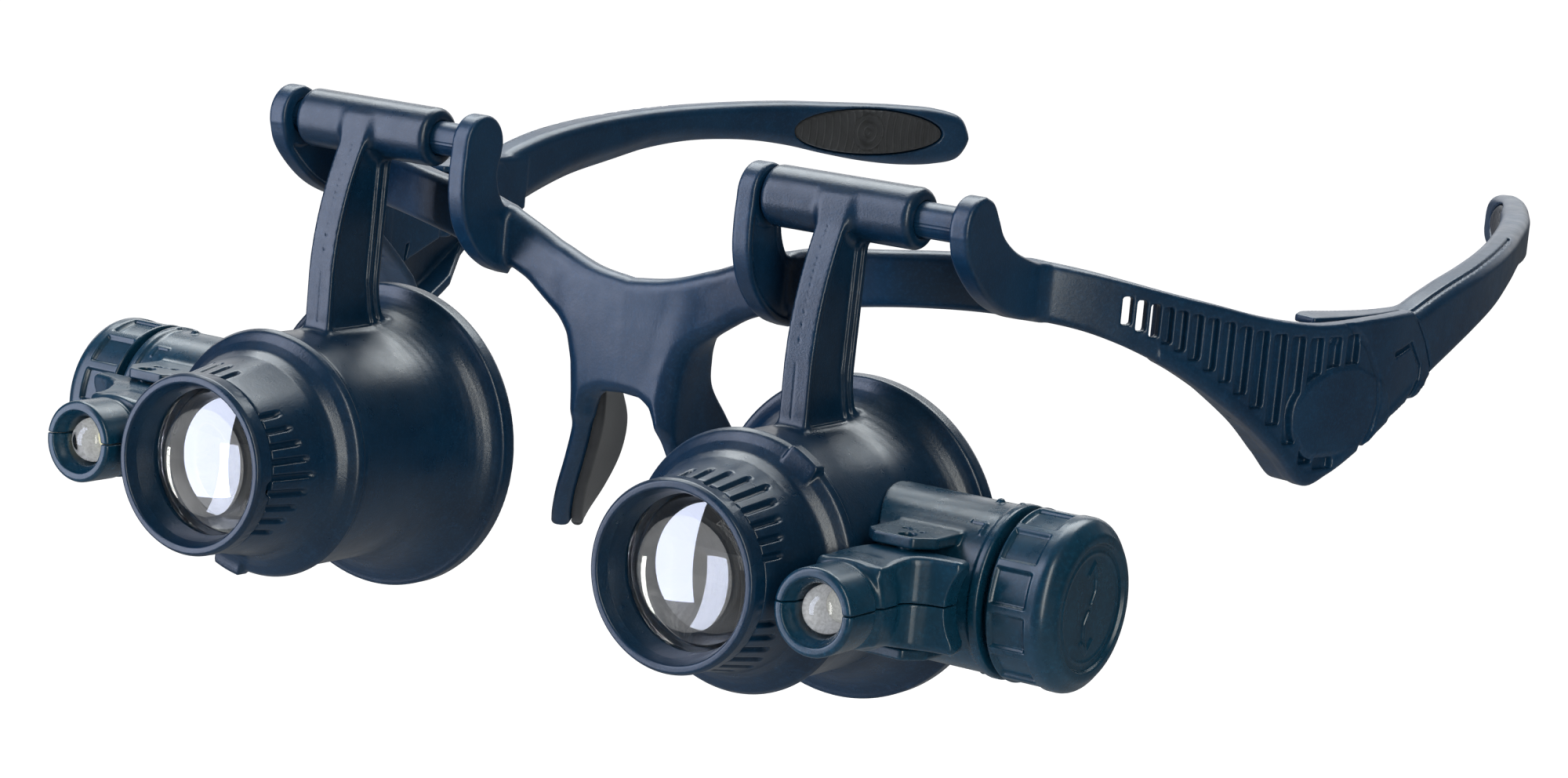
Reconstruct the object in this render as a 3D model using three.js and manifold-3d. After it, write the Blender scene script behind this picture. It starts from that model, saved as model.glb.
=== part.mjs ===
// Eyewear magnifier: a spectacle frame that carries two swinging loupes with LED lamps.
//
// Millimetres, +Z up. +X is the wearer's left, +Y points back along the temples, and the lenses face
// -Y. Everything is drawn about the axis of the two pivot pins, in the plane of symmetry of the
// frame, and then moved so that the origin is on the flat front face of the nose bridge.
// Each loupe is drawn once, with its battery tube towards +X, and mirrored for the wearer's right.

import * as THREE from 'three';
import { mergeVertices } from 'three/addons/utils/BufferGeometryUtils.js';
import Module from 'manifold-3d';

const wasm = await Module();
wasm.setup();

// ---- driving dimensions -----------------------------------------------------------------------

const origin = { y: 3.3, z: -21 }; // the part's origin, from the axis of the pivot pins

const GAP = 0.3; // between neighbouring pieces that don't slide on each other
const RUNNING = 0.06; // radial clearance of a shaft in its hole
const FINE = 28; // facets round a large turned piece
const MEDIUM = 24; // facets round a smaller one
const COARSE = 16; // facets round a pin or a cell

const pivot = {
  innerEar: 18.9, // centre of the ear next to the nose, from the plane of symmetry
  outerEar: 45,
  earWidth: 2.4,
  earRadius: 3.35,
  earOffset: -0.2, // the ear's head sits a little forward of the pin
  pinRadius: 1.9,
  pinEndFloat: 0.15,
  socketDepth: 1.6,
};

const sleeve = { radius: 3.3, inner: -9.55, outer: 8.95, edge: 0.7 };

const rest = { left: 29.9, right: -33.7 }; // where the two loupes stand along the pins

const axisHeight = -35.9; // optical axis of a loupe hanging straight down

const barrel = {
  front: -14,
  back: 8,
  radius: 13.2,
  bore: 11.9,
  rimRadius: 17.5,
  rimFront: 5.9,
  flareY: -2.2, // where the barrel starts to widen
  flareWidth: 4.6,
  flareLength: 8,
  flareTurn: 1.35, // radians of the ellipse that the flare follows
};

const arm = { width: 3.5 };

const tube = {
  y: -2,
  radius: 8.8,
  lipRadius: 9.1,
  lipEnd: 25.8,
  neckRadius: 7.2,
  neckEnd: 31,
  boreRadius: 6,
  boreEnd: 17,
};

const cell = { count: 3, radius: 5.8, thickness: 3.1, spacing: 3.2, first: 17.6 };

const cap = { start: 26.8, end: 34.2, radius: 9.1, boreRadius: 7.5, wall: 1.8, flutes: 12 };

const spring = { start: 27.9, end: 32.2, wire: 0.3, wide: 4.6, narrow: 2.2, turns: 3 };

const pod = {
  x: 16.6, // centre of the lamp, outboard of the optical axis
  drop: 0.4, // and below it
  front: -27.4,
  ringRadius: 4.55,
  pivotX: 18.8,
  pivotY: -14,
  plateInner: 5.1, // the bracket's two plates stand this far above and below the tube's axis
  plateOuter: 6.3,
  halfHeight: 4.75,
  stubRadius: 0.9,
  seam: 0.1, // half the parting gap between the two shells
};

const lamp = { radius: 2.5, flangeRadius: 2.9, front: -27, flangeY: -19.5 };

const lensCell = {
  back: -9,
  rimBack: -14.3,
  rimRadius: 13.87,
  front: -25.3,
  frontRadius: 9.8,
  pocket: 8.65,
  seatY: -20.1,
  grooves: 9,
  groovePitch: 10, // degrees
  groups: 3,
  firstGroup: 30, // degrees from the top, towards the battery tube
};

const lens = { radius: 8.5, edgeFront: -23.2, edgeBack: -20.8, front: -25, back: -19 };

const hinge = {
  x: 60.8, // vertical fold axis of a temple
  y: 48.5,
  radius: 1.9,
  pinRadius: 0.8,
  webHalf: 1.6, // half the width of the webs that carry the frame's lugs
  roofTop: -10.1, // the temple's roof plate covers the hinge
  roofBottom: -11,
  lugTop: -11.3,
  knuckleTop: -13,
  knuckleBottom: -17.2,
  lugBottom: -19.2,
};

// Inner wall of the end panel, which hides the hinge from the inside.
const housing = {
  x: 58.6,
  wall: 1,
  top: -11.3,
  outline: [[35, -11.3], [46.5, -11.3], [46.5, -19.3], [38, -24.2], [35, -22]],
  relief: [[40.5, -19.3], [39.7, -19.6], [39.4, -23.3]],
};

// The brow bar and its end panel, half of it: plan curve of the outer face, upper edge, lower edge
// and thickness. Each row is [x, y, top, bottom, thickness].
const browRows = [
  [0, 3.2, -12.9, -17.4, 3.4],
  [7, 3.5, -11.2, -17.4, 3.4],
  [12, 4, -9.2, -16.2, 3.3],
  [16, 4.3, -7.8, -14.1, 3.2],
  [20, 4.6, -6.2, -13.2, 3.2],
  [24, 5, -5.7, -12.3, 3.2],
  [30, 6, -5, -11, 3.2],
  [36, 8, -4.4, -10.4, 3.2],
  [41, 10.2, -4.1, -10.3, 3.2],
  [46, 13.2, -4.3, -10.6, 3.2],
  [50, 16.8, -5, -11.5, 3.2],
  [53.5, 20.8, -6, -13, 3],
  [56.6, 25.3, -7.1, -15.2, 2.6],
  [59.2, 29.9, -8.1, -18, 2.2],
  [61.5, 35.4, -9.3, -21.5, 1.9],
  [63.1, 40, -10, -25, 1.8],
  [64.3, 44.2, -10.4, -28.4, 1.8],
  [65.2, 48.3, -10.4, -27.6, 1.8],
  [66.1, 53.4, -10.3, -25.2, 1.8],
  [66.8, 59, -10.2, -22.4, 1.8],
  [67, 64.6, -10.1, -20, 1.8],
];

const panel = {
  slots: 15,
  through: 3,
  firstY: 20.1,
  pitch: 1.35, // along Y, growing from the third slot on
  growth: 0.095,
  slotWidth: 1.1,
  depth: 0.9,
  topMargin: 1.5,
  bottomMargin: 2.4,
};

// Nose leg, one side: centre line of its section. Each row is [z, frontX, frontY, backX, backY].
const legRows = [
  [-15, 7.4, 4.4, 8.8, 5.2],
  [-19, 6.3, 4.4, 8, 6.4],
  [-23.5, 5.6, 4.7, 7.3, 8.8],
  [-27, 5.7, 5.3, 7.6, 12],
  [-30.5, 6.2, 6.1, 8.2, 14],
  [-35, 8, 7.4, 9.6, 14.8],
  [-39, 9.7, 8.8, 10.9, 14],
  [-42.6, 11.2, 10.6, 11.9, 12],
];
const legThickness = 2;
const nosePadThickness = 1.3;

// Temple arm: each row is [y, outer x, top, bottom, thickness].
const templeRows = [
  [65.2, 67, -9.9, -19.7, 4.2],
  [75, 67.2, -7.5, -15.9, 4.2],
  [82, 66.8, -6.4, -13.8, 4.1],
  [90, 65.6, -5.4, -12, 3.9],
  [98, 63.8, -4.6, -10.2, 3.8],
  [105, 61.7, -4.1, -9.1, 3.7],
  [113, 59.1, -3.7, -9.1, 3.7],
  [120, 56.5, -3.5, -9.8, 3.7],
  [126, 53.9, -3.5, -10.9, 3.6],
  [132, 51.2, -3.5, -11.7, 3.6],
  [138, 48.2, -3.6, -12.1, 3.5],
  [142.5, 45.4, -3.9, -11.8, 3.4],
  [145.7, 43.1, -4.9, -10.9, 3.2],
  [147.2, 41.8, -6.6, -9.2, 2.8],
];

const templePad = {
  x: 46.8,
  y: 131.8,
  z: -7.4,
  heading: 116.6, // degrees from +Y to the way that the pad faces
  halfLength: 12.6,
  halfHeight: 3.1,
  thickness: 1,
};

// ---- shape helpers ------------------------------------------------------------------------------

// Turns a closed three.js geometry into a solid that can be joined and cut.
function solid(geometry) {
  const bare = new THREE.BufferGeometry();
  bare.setAttribute('position', geometry.attributes.position.clone());
  if (geometry.index) bare.setIndex(geometry.index.clone());
  const merged = mergeVertices(bare, 1e-4);
  const index = merged.index.array;
  const triangles = [];
  for (let i = 0; i < index.length; i += 3) {
    const [a, b, c] = [index[i], index[i + 1], index[i + 2]];
    if (a !== b && b !== c && c !== a) triangles.push(a, b, c);
  }
  const build = (triVerts) => new wasm.Manifold(new wasm.Mesh({
    numProp: 3,
    vertProperties: Float32Array.from(merged.attributes.position.array),
    triVerts: Uint32Array.from(triVerts),
  }));
  const made = build(triangles);
  return made.volume() > 0 ? made : build(triangles.reverse());
}

// Gives a solid back as a three.js geometry.
function geometryOf(made) {
  const mesh = made.getMesh();
  const geometry = new THREE.BufferGeometry();
  geometry.setAttribute('position', new THREE.BufferAttribute(Float32Array.from(mesh.vertProperties), 3));
  geometry.setIndex(new THREE.BufferAttribute(Uint32Array.from(mesh.triVerts), 1));
  return geometry;
}

// Turned solid about the Y axis from [radius, y] points.
function turned(points, facets = FINE) {
  return new THREE.LatheGeometry(points.map(([r, h]) => new THREE.Vector2(r, h)), facets);
}

// The same about the X axis, from [radius, x] points.
function turnedX(points, facets = FINE) {
  return turned(points, facets).rotateZ(-Math.PI / 2);
}

// The same about the Z axis, from [radius, z] points.
function turnedZ(points, facets = COARSE) {
  return turned(points, facets).rotateX(Math.PI / 2);
}

// Profile of a plain disc or rod, with its rims chamfered by edge.
function discProfile(radius, from, to, edge = 0) {
  if (edge === 0) return [[0, from], [radius, from], [radius, to], [0, to]];
  return [
    [0, from],
    [radius - edge, from],
    [radius, from + edge],
    [radius, to - edge],
    [radius - edge, to],
    [0, to],
  ];
}

function block(x0, x1, y0, y1, z0, z1) {
  return new THREE.BoxGeometry(x1 - x0, y1 - y0, z1 - z0)
    .translate((x0 + x1) / 2, (y0 + y1) / 2, (z0 + z1) / 2);
}

// Skins rings of equally many points and closes the two ends.
function loft(rings) {
  const count = rings[0].length;
  const index = [];
  for (let k = 0; k + 1 < rings.length; k += 1) {
    for (let i = 0; i < count; i += 1) {
      const a = k * count + i;
      const b = k * count + ((i + 1) % count);
      index.push(a, b, a + count, b, b + count, a + count);
    }
  }
  const last = (rings.length - 1) * count;
  for (let i = 1; i + 1 < count; i += 1) {
    index.push(0, i + 1, i, last, last + i, last + i + 1);
  }
  const geometry = new THREE.BufferGeometry();
  geometry.setAttribute('position', new THREE.Float32BufferAttribute(rings.flat(2), 3));
  geometry.setIndex(index);
  return geometry;
}

// Eight-sided section of an upright strip: p and q are the plan ends of its thickness.
function stripRing(p, q, top, bottom) {
  const mix = (t) => [p[0] + (q[0] - p[0]) * t, p[1] + (q[1] - p[1]) * t];
  const side = Math.min(0.25, 0.7 / Math.hypot(q[0] - p[0], q[1] - p[1]));
  const edge = 0.6;
  return [
    [...mix(side), top],
    [...mix(1 - side), top],
    [...q, top - edge],
    [...q, bottom + edge],
    [...mix(1 - side), bottom],
    [...mix(side), bottom],
    [...p, bottom + edge],
    [...p, top - edge],
  ];
}

// Strip that follows a plan curve: rows of [x, y, top, bottom, thickness]. The rows lie on the
// outer face and the thickness goes to the left of the direction of travel. With a depth, only the
// layer of that depth under the inner face is made.
function strip(rows, depth = null) {
  return loft(rows.map(([x, y, top, bottom, thickness], i) => {
    const before = rows[Math.max(i - 1, 0)];
    const after = rows[Math.min(i + 1, rows.length - 1)];
    const along = [after[0] - before[0], after[1] - before[1]];
    const size = Math.hypot(...along);
    const inward = (d) => [x - (along[1] / size) * d, y + (along[0] / size) * d];
    return stripRing(inward(depth === null ? 0 : thickness - depth), inward(thickness), top, bottom);
  }));
}

// Plate whose outline is drawn in the YZ plane, centred on x.
function plateYZ(shape, x, width) {
  const geometry = new THREE.ExtrudeGeometry(shape, { depth: width, bevelEnabled: false, curveSegments: 5 });
  // the outline's x and y become Y and Z, and its depth runs along X
  const turn = new THREE.Matrix4().set(0, 0, 1, x - width / 2, 1, 0, 0, 0, 0, 1, 0, 0, 0, 0, 0, 1);
  return geometry.applyMatrix4(turn);
}

function mirrored(geometry) {
  return geometry.clone().scale(-1, 1, 1);
}

const boreFor = (shaft, facets) => (shaft + RUNNING) / Math.cos(Math.PI / facets);

// ---- materials ------------------------------------------------------------------------------------

function finish(color, roughness, metalness = 0) {
  return new THREE.MeshStandardMaterial({ color, roughness, metalness });
}

const materials = {
  frame: finish(0x16263f, 0.45),
  loupe: finish(0x14243c, 0.4),
  holder: finish(0x152a42, 0.3),
  rubber: finish(0x3c3e40, 0.8),
  lens: finish(0xe6ecf0, 0.05),
  led: finish(0xf0eee0, 0.1),
  steel: finish(0xb9bcc0, 0.3, 0.9),
  brass: finish(0xc4a050, 0.35, 0.9),
};

const model = new THREE.Group();
const drawing = new THREE.Group();
drawing.position.set(0, -origin.y, -origin.z);
model.add(drawing);

// Adds one named piece. side is 'left' or 'right' for a piece drawn for the left and mirrored.
function piece(name, made, material, parent = drawing, side = 'left') {
  const geometry = geometryOf(side === 'right' ? solid(mirrored(geometryOf(made))) : made);
  geometry.computeVertexNormals();
  const mesh = new THREE.Mesh(geometry, material);
  mesh.name = name;
  parent.add(mesh);
  return mesh;
}

// ---- frame ----------------------------------------------------------------------------------------

function browBar() {
  const mirror = browRows.slice(1).map(([x, ...others]) => [-x, ...others]).reverse();
  return solid(strip([...mirror, ...browRows]));
}

// Outline of an ear: points up its front edge, a round head over the pin, points down its back.
function earShape(front, back) {
  const shape = new THREE.Shape();
  shape.moveTo(...front[0]);
  for (const point of front.slice(1)) shape.lineTo(...point);
  shape.absarc(pivot.earOffset, 0, pivot.earRadius, Math.PI, 0, true);
  for (const point of back) shape.lineTo(...point);
  shape.closePath();
  return shape;
}

// Ear next to the nose: a blade that runs down the front of the bar.
const innerEarShape = () => earShape(
  [[6.2, -14.4], [3.2, -13.7], [0.2, -12.1], [-2.3, -9.3], [-3.5, -6.2], [-3.8, -3.1]],
  [[2.5, -2.6], [2.9, -4.8], [4, -6.4], [6.2, -7.2]],
);

// Outer ear: a strut that leans back to the bar.
const outerEarShape = () => earShape(
  [[14, -10], [9, -9.8], [3.7, -8.3], [0, -5.9], [-2.6, -3.2]],
  [[3.6, -1], [5.9, -2.5], [11, -4.3], [14, -4.8]],
);

function pinSocket(from, to) {
  const radius = boreFor(pivot.pinRadius, COARSE);
  return solid(turnedX(discProfile(radius, from, to), COARSE));
}

function noseBridge() {
  const side = [[9.6, -12.2], [13, -14.4], [9.4, -17.6], [7.3, -21], [6.5, -26], [6.7, -29], [5.2, -28.6]];
  const outline = new THREE.Shape();
  outline.moveTo(-side[0][0], side[0][1]);
  outline.quadraticCurveTo(0, -14.4, ...side[0]);
  for (const point of side.slice(1)) outline.lineTo(...point);
  outline.quadraticCurveTo(4.4, -25.3, 0, -25.3);
  outline.quadraticCurveTo(-4.4, -25.3, -5.2, -28.6);
  for (const [x, z] of side.slice(1, -1).reverse()) outline.lineTo(-x, z);
  outline.closePath();
  const geometry = new THREE.ExtrudeGeometry(outline, { depth: 3, bevelEnabled: false, curveSegments: 6 });
  // outline X and Y become X and Z, and the depth runs back along +Y from the front face
  return solid(geometry.rotateX(Math.PI / 2).translate(0, origin.y + 3, 0));
}

// One nose leg as a blade between two vertical edges; offset moves the blade towards the nose.
function legBlade(rows, thickness, offset, sign) {
  const rings = rows.map(([z, frontX, frontY, backX, backY]) => {
    const along = new THREE.Vector2(backX - frontX, backY - frontY).normalize();
    const across = new THREE.Vector2(-along.y, along.x);
    const point = (x, y, side) => [
      sign * (x + across.x * (offset + side * thickness)),
      y + across.y * (offset + side * thickness),
      z,
    ];
    return [
      point(frontX, frontY, -0.5),
      point(frontX - along.x * 0.5, frontY - along.y * 0.5, 0),
      point(frontX, frontY, 0.5),
      point(backX, backY, 0.5),
      point(backX + along.x * 0.5, backY + along.y * 0.5, 0),
      point(backX, backY, -0.5),
    ];
  });
  return solid(loft(rings));
}

// Upright slots of the end panel; the first few go right through and the others are blind.
function panelSlots() {
  let slots = null;
  for (let i = 0; i < panel.slots; i += 1) {
    const y = panel.firstY + i * panel.pitch + panel.growth * Math.max(i - 3, 0) ** 2;
    const row = browRows.findIndex((entry) => entry[1] > y);
    const [a, b] = [browRows[row - 1], browRows[row]];
    const t = (y - a[1]) / (b[1] - a[1]);
    const mix = (k) => a[k] + (b[k] - a[k]) * t;
    const top = mix(2) - panel.topMargin;
    const bottom = mix(3) + panel.bottomMargin;
    const depth = i < panel.through ? 8 : panel.depth;
    const heading = Math.atan2(b[1] - a[1], b[0] - a[0]);
    const slot = solid(new THREE.BoxGeometry(panel.slotWidth, 2 * depth, top - bottom)
      .rotateZ(heading)
      .translate(mix(0), mix(1), (top + bottom) / 2));
    slots = slots ? slots.add(slot) : slot;
  }
  return slots;
}

// Bore for the pin of a temple hinge, from z upwards.
function hingeBore(from) {
  const profile = discProfile(boreFor(hinge.pinRadius, COARSE), from, 0);
  return solid(turnedZ(profile).translate(hinge.x, hinge.y, 0));
}

// Frame side of a temple hinge: two lugs that reach in from the end panel.
function hingeLugs() {
  const lug = (from, to) => {
    const eye = solid(turnedZ(discProfile(hinge.radius, from, to)).translate(hinge.x, hinge.y, 0));
    const web = block(hinge.x, 64.4, hinge.y - hinge.webHalf, hinge.y + hinge.webHalf, from, to);
    return eye.add(solid(web));
  };
  const upper = lug(hinge.knuckleTop + GAP, hinge.lugTop);
  const lower = lug(hinge.lugBottom, hinge.knuckleBottom - GAP);
  return upper.add(lower).subtract(hingeBore(-30));
}

function hingeHousing() {
  const wall = new THREE.Shape(housing.outline.map(([y, z]) => new THREE.Vector2(y, z)));
  const relief = new THREE.Shape(housing.relief.map(([y, z]) => new THREE.Vector2(y, z)));
  const [front] = housing.outline[0];
  const [, bottom] = housing.outline[4];
  const web = block(housing.x, 62, front, front + 1.5, bottom, housing.top);
  return solid(plateYZ(wall, housing.x + housing.wall / 2, housing.wall))
    .add(solid(web))
    .subtract(solid(plateYZ(relief, housing.x, 4 * housing.wall)));
}

function frontFrame() {
  let made = browBar().add(noseBridge());
  for (const sign of [1, -1]) {
    made = made
      .add(solid(plateYZ(innerEarShape(), sign * pivot.innerEar, pivot.earWidth)))
      .add(solid(plateYZ(outerEarShape(), sign * pivot.outerEar, pivot.earWidth)))
      .add(legBlade(legRows, legThickness, 0, sign));
  }
  const rightHalf = (part) => solid(mirrored(geometryOf(part)));
  const lugs = hingeLugs().add(hingeHousing());
  const slots = panelSlots();
  made = made.add(lugs).add(rightHalf(lugs)).subtract(slots).subtract(rightHalf(slots));
  const from = pivot.innerEar + pivot.earWidth / 2 - pivot.socketDepth;
  const to = pivot.outerEar - pivot.earWidth / 2 + pivot.socketDepth;
  return made.subtract(pinSocket(from, to)).subtract(pinSocket(-to, -from));
}

function nosePad() {
  const rows = legRows.slice(3).map(([z, fx, fy, bx, by]) => [z - 0.2, fx + 0.3, fy + 0.9, bx, by]);
  return legBlade(rows, nosePadThickness, (legThickness + nosePadThickness) / 2 + GAP, 1);
}

function pivotPin() {
  const from = pivot.innerEar + pivot.earWidth / 2 - pivot.socketDepth + pivot.pinEndFloat;
  const to = pivot.outerEar - pivot.earWidth / 2 + pivot.socketDepth - pivot.pinEndFloat;
  return solid(turnedX(discProfile(pivot.pinRadius, from, to, 0.3), COARSE));
}

// ---- temples --------------------------------------------------------------------------------------

function templeArm() {
  const bar = solid(strip(templeRows.map(([y, x, ...others]) => [x, y, ...others])));
  const row = (top, bottom) => (x, y, thickness) => [x, y, top, bottom, thickness];
  const tongueRow = row(hinge.knuckleTop, hinge.knuckleBottom);
  const tongue = solid(strip([
    tongueRow(62.4, hinge.y, 2.4),
    tongueRow(62.9, 52.6, 1.9),
    tongueRow(63.9, 57.4, 1.4),
  ]));
  const roofRow = row(hinge.roofTop, hinge.roofBottom);
  const roof = solid(strip([
    roofRow(62.3, 46.6, 3),
    roofRow(63, 48.9, 4.3),
    roofRow(64.1, 53.4, 3.7),
    roofRow(64.7, 59, 2.6),
    roofRow(64.7, 66.6, 1.7),
  ]));
  const cheekRow = row(hinge.roofTop - 0.3, hinge.lugBottom);
  const cheek = solid(strip([
    cheekRow(61.6, 51, 1.2),
    cheekRow(63.2, 56, 1.5),
    cheekRow(64.3, 61, 1.7),
    cheekRow(64.4, 66.2, 1.6),
  ]));
  const knuckle = solid(turnedZ(discProfile(hinge.radius, hinge.knuckleBottom, hinge.knuckleTop))
    .translate(hinge.x, hinge.y, 0));
  const hinged = tongue.add(knuckle).subtract(hingeBore(hinge.knuckleBottom - 1));
  const whole = bar.add(hinged).add(cheek).add(roof);
  return whole.subtract(templePadSolid(templePad.thickness + GAP, GAP));
}

// Oval pad let into the inner face near the tip; grow enlarges it into the pocket that it sits in.
function templePadSolid(depth, grow) {
  const layer = templeRows
    .filter(([y]) => y > 110)
    .map(([y, x, , , thickness]) => [x, y, 0, -15, thickness + grow]);
  const profile = discProfile(1, -6, 6);
  const prism = turned(profile, MEDIUM)
    .scale(templePad.halfLength + grow, 1, templePad.halfHeight + grow)
    .rotateZ(THREE.MathUtils.degToRad(templePad.heading))
    .translate(templePad.x, templePad.y, templePad.z);
  return solid(strip(layer, depth + grow)).intersect(solid(prism));
}

function hingePin() {
  return solid(turnedZ(discProfile(hinge.pinRadius, hinge.lugBottom + 0.2, hinge.lugTop - 0.1, 0.2))
    .translate(hinge.x, hinge.y, 0));
}

// ---- loupe ----------------------------------------------------------------------------------------

// Outside of the eyecup barrel from front to back; grow offsets it for clearances.
function barrelOutside(grow = 0) {
  const steps = 4;
  const points = [[barrel.radius + grow, barrel.front - grow], [barrel.radius + grow, barrel.flareY]];
  for (let i = 1; i <= steps; i += 1) {
    const t = (i / steps) * barrel.flareTurn;
    const r = barrel.radius + barrel.flareWidth * (1 - Math.cos(t));
    const y = barrel.flareY + barrel.flareLength * Math.sin(t);
    points.push([r + grow, y - grow]);
  }
  points.push([barrel.rimRadius + grow, barrel.rimFront - grow]);
  points.push([barrel.rimRadius + grow, barrel.back + grow]);
  return points;
}

function barrelSolid() {
  const inside = [
    [16.2, barrel.back],
    [14.4, 5.6],
    [12.6, 2.2],
    [barrel.bore, -1.4],
    [barrel.bore, barrel.front],
  ];
  const outside = barrelOutside();
  return solid(turned([...outside, ...inside, outside[0]]).translate(0, 0, axisHeight));
}

function barrelEnvelope(grow) {
  const outside = barrelOutside(grow);
  const profile = [[0, outside[0][1]], ...outside, [0, barrel.back + grow]];
  return solid(turned(profile).translate(0, 0, axisHeight));
}

function armShape() {
  const shape = new THREE.Shape();
  shape.moveTo(-2.6, 1);
  shape.bezierCurveTo(-5, -3.5, -7.4, -9, -7.7, -16);
  shape.lineTo(-7.7, -23.4);
  shape.lineTo(3.2, -23.4);
  shape.quadraticCurveTo(1, -20.5, 1, -17);
  shape.lineTo(1.6, 0);
  shape.closePath();
  return shape;
}

function loupeBody() {
  const { radius, inner, outer, edge } = sleeve;
  const sleeveSolid = solid(turnedX(discProfile(radius, inner, outer, edge), MEDIUM));
  const armSolid = solid(plateYZ(armShape(), 0, arm.width));
  const bore = solid(turnedX(discProfile(boreFor(pivot.pinRadius, COARSE), inner - 1, outer + 1), COARSE));
  const inside = solid(turned(discProfile(barrel.bore + 0.4, -20, 4)).translate(0, 0, axisHeight));
  return sleeveSolid.add(armSolid.subtract(inside)).subtract(bore).add(barrelSolid());
}

function batteryTube() {
  const profile = [
    [0, 9],
    [tube.radius, 9],
    [tube.radius, 24.5],
    [tube.lipRadius, 24.9],
    [tube.lipRadius, tube.lipEnd],
    [tube.neckRadius, tube.lipEnd],
    [tube.neckRadius, tube.neckEnd],
    [tube.boreRadius, tube.neckEnd],
    [tube.boreRadius, tube.boreEnd],
    [0, tube.boreEnd],
  ];
  let made = solid(turnedX(profile, MEDIUM).translate(0, tube.y, axisHeight));
  for (const sign of [1, -1]) {
    const z = [axisHeight + sign * pod.plateInner, axisHeight + sign * pod.plateOuter].sort((a, b) => a - b);
    made = made.add(solid(block(14.2, 21.9, -15.4, -6, ...z)));
  }
  const hole = discProfile(boreFor(pod.stubRadius, COARSE), axisHeight - 9, axisHeight + 9);
  const pivotHole = solid(turnedZ(hole).translate(pod.pivotX, pod.pivotY, 0));
  const leadHole = solid(turned(discProfile(1, -12, -5), 8).translate(pod.pivotX, 0, axisHeight));
  const bore = solid(turnedX(discProfile(tube.boreRadius, tube.boreEnd, 40), MEDIUM)
    .translate(0, tube.y, axisHeight));
  return made.subtract(pivotHole).subtract(leadHole).subtract(bore).subtract(barrelEnvelope(GAP));
}

function batteryCap() {
  const profile = [
    [tube.neckRadius + GAP, cap.start],
    [cap.radius - 0.2, cap.start],
    [cap.radius, cap.start + 0.3],
    [cap.radius, cap.end - 2.2],
    [cap.radius - 0.7, cap.end - 0.7],
    [cap.radius - 2, cap.end],
    [cap.radius - 2.3, cap.end],
    [cap.radius - 2.6, cap.end - 0.4],
    [0, cap.end - 0.4],
    [0, cap.end - cap.wall],
    [cap.boreRadius, cap.end - cap.wall],
    [cap.boreRadius, cap.start],
  ];
  let made = solid(turnedX(profile, MEDIUM).translate(0, tube.y, axisHeight));
  for (let i = 0; i < cap.flutes; i += 1) {
    const flute = block(cap.start + 0.5, cap.end - 2.6, -1, 1, cap.radius - 0.45, cap.radius + 1)
      .rotateX((i + 0.5) * ((2 * Math.PI) / cap.flutes))
      .translate(0, tube.y, axisHeight);
    made = made.subtract(solid(flute));
  }
  return made;
}

function buttonCell(number) {
  const from = cell.first + number * cell.spacing;
  const profile = [
    [0, from],
    [4.7, from],
    [cell.radius, from + 0.5],
    [cell.radius, from + cell.thickness],
    [0, from + cell.thickness],
  ];
  return solid(turnedX(profile, COARSE).translate(0, tube.y, axisHeight));
}

function contactDisc() {
  const profile = discProfile(5.5, tube.boreEnd + 0.1, tube.boreEnd + 0.45);
  return solid(turnedX(profile, COARSE).translate(0, tube.y, axisHeight));
}

// Conical coil: wide where it sits in the cap, narrow where it touches the last cell.
function contactSpring() {
  const path = new THREE.CatmullRomCurve3(Array.from({ length: spring.turns * 10 + 1 }, (_, i) => {
    const t = i / (spring.turns * 10);
    const angle = t * spring.turns * 2 * Math.PI;
    const radius = spring.wide + (spring.narrow - spring.wide) * t;
    const x = spring.end + (spring.start + spring.wire - spring.end) * t - spring.wire * (1 - t);
    return new THREE.Vector3(x, tube.y + radius * Math.cos(angle), axisHeight + radius * Math.sin(angle));
  }));
  const section = new THREE.Shape();
  section.absarc(0, 0, spring.wire, 0, 2 * Math.PI, false);
  return solid(new THREE.ExtrudeGeometry(section, {
    steps: spring.turns * 10,
    extrudePath: path,
    curveSegments: 2,
  }));
}

// ---- lamp pod -------------------------------------------------------------------------------------

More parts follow.
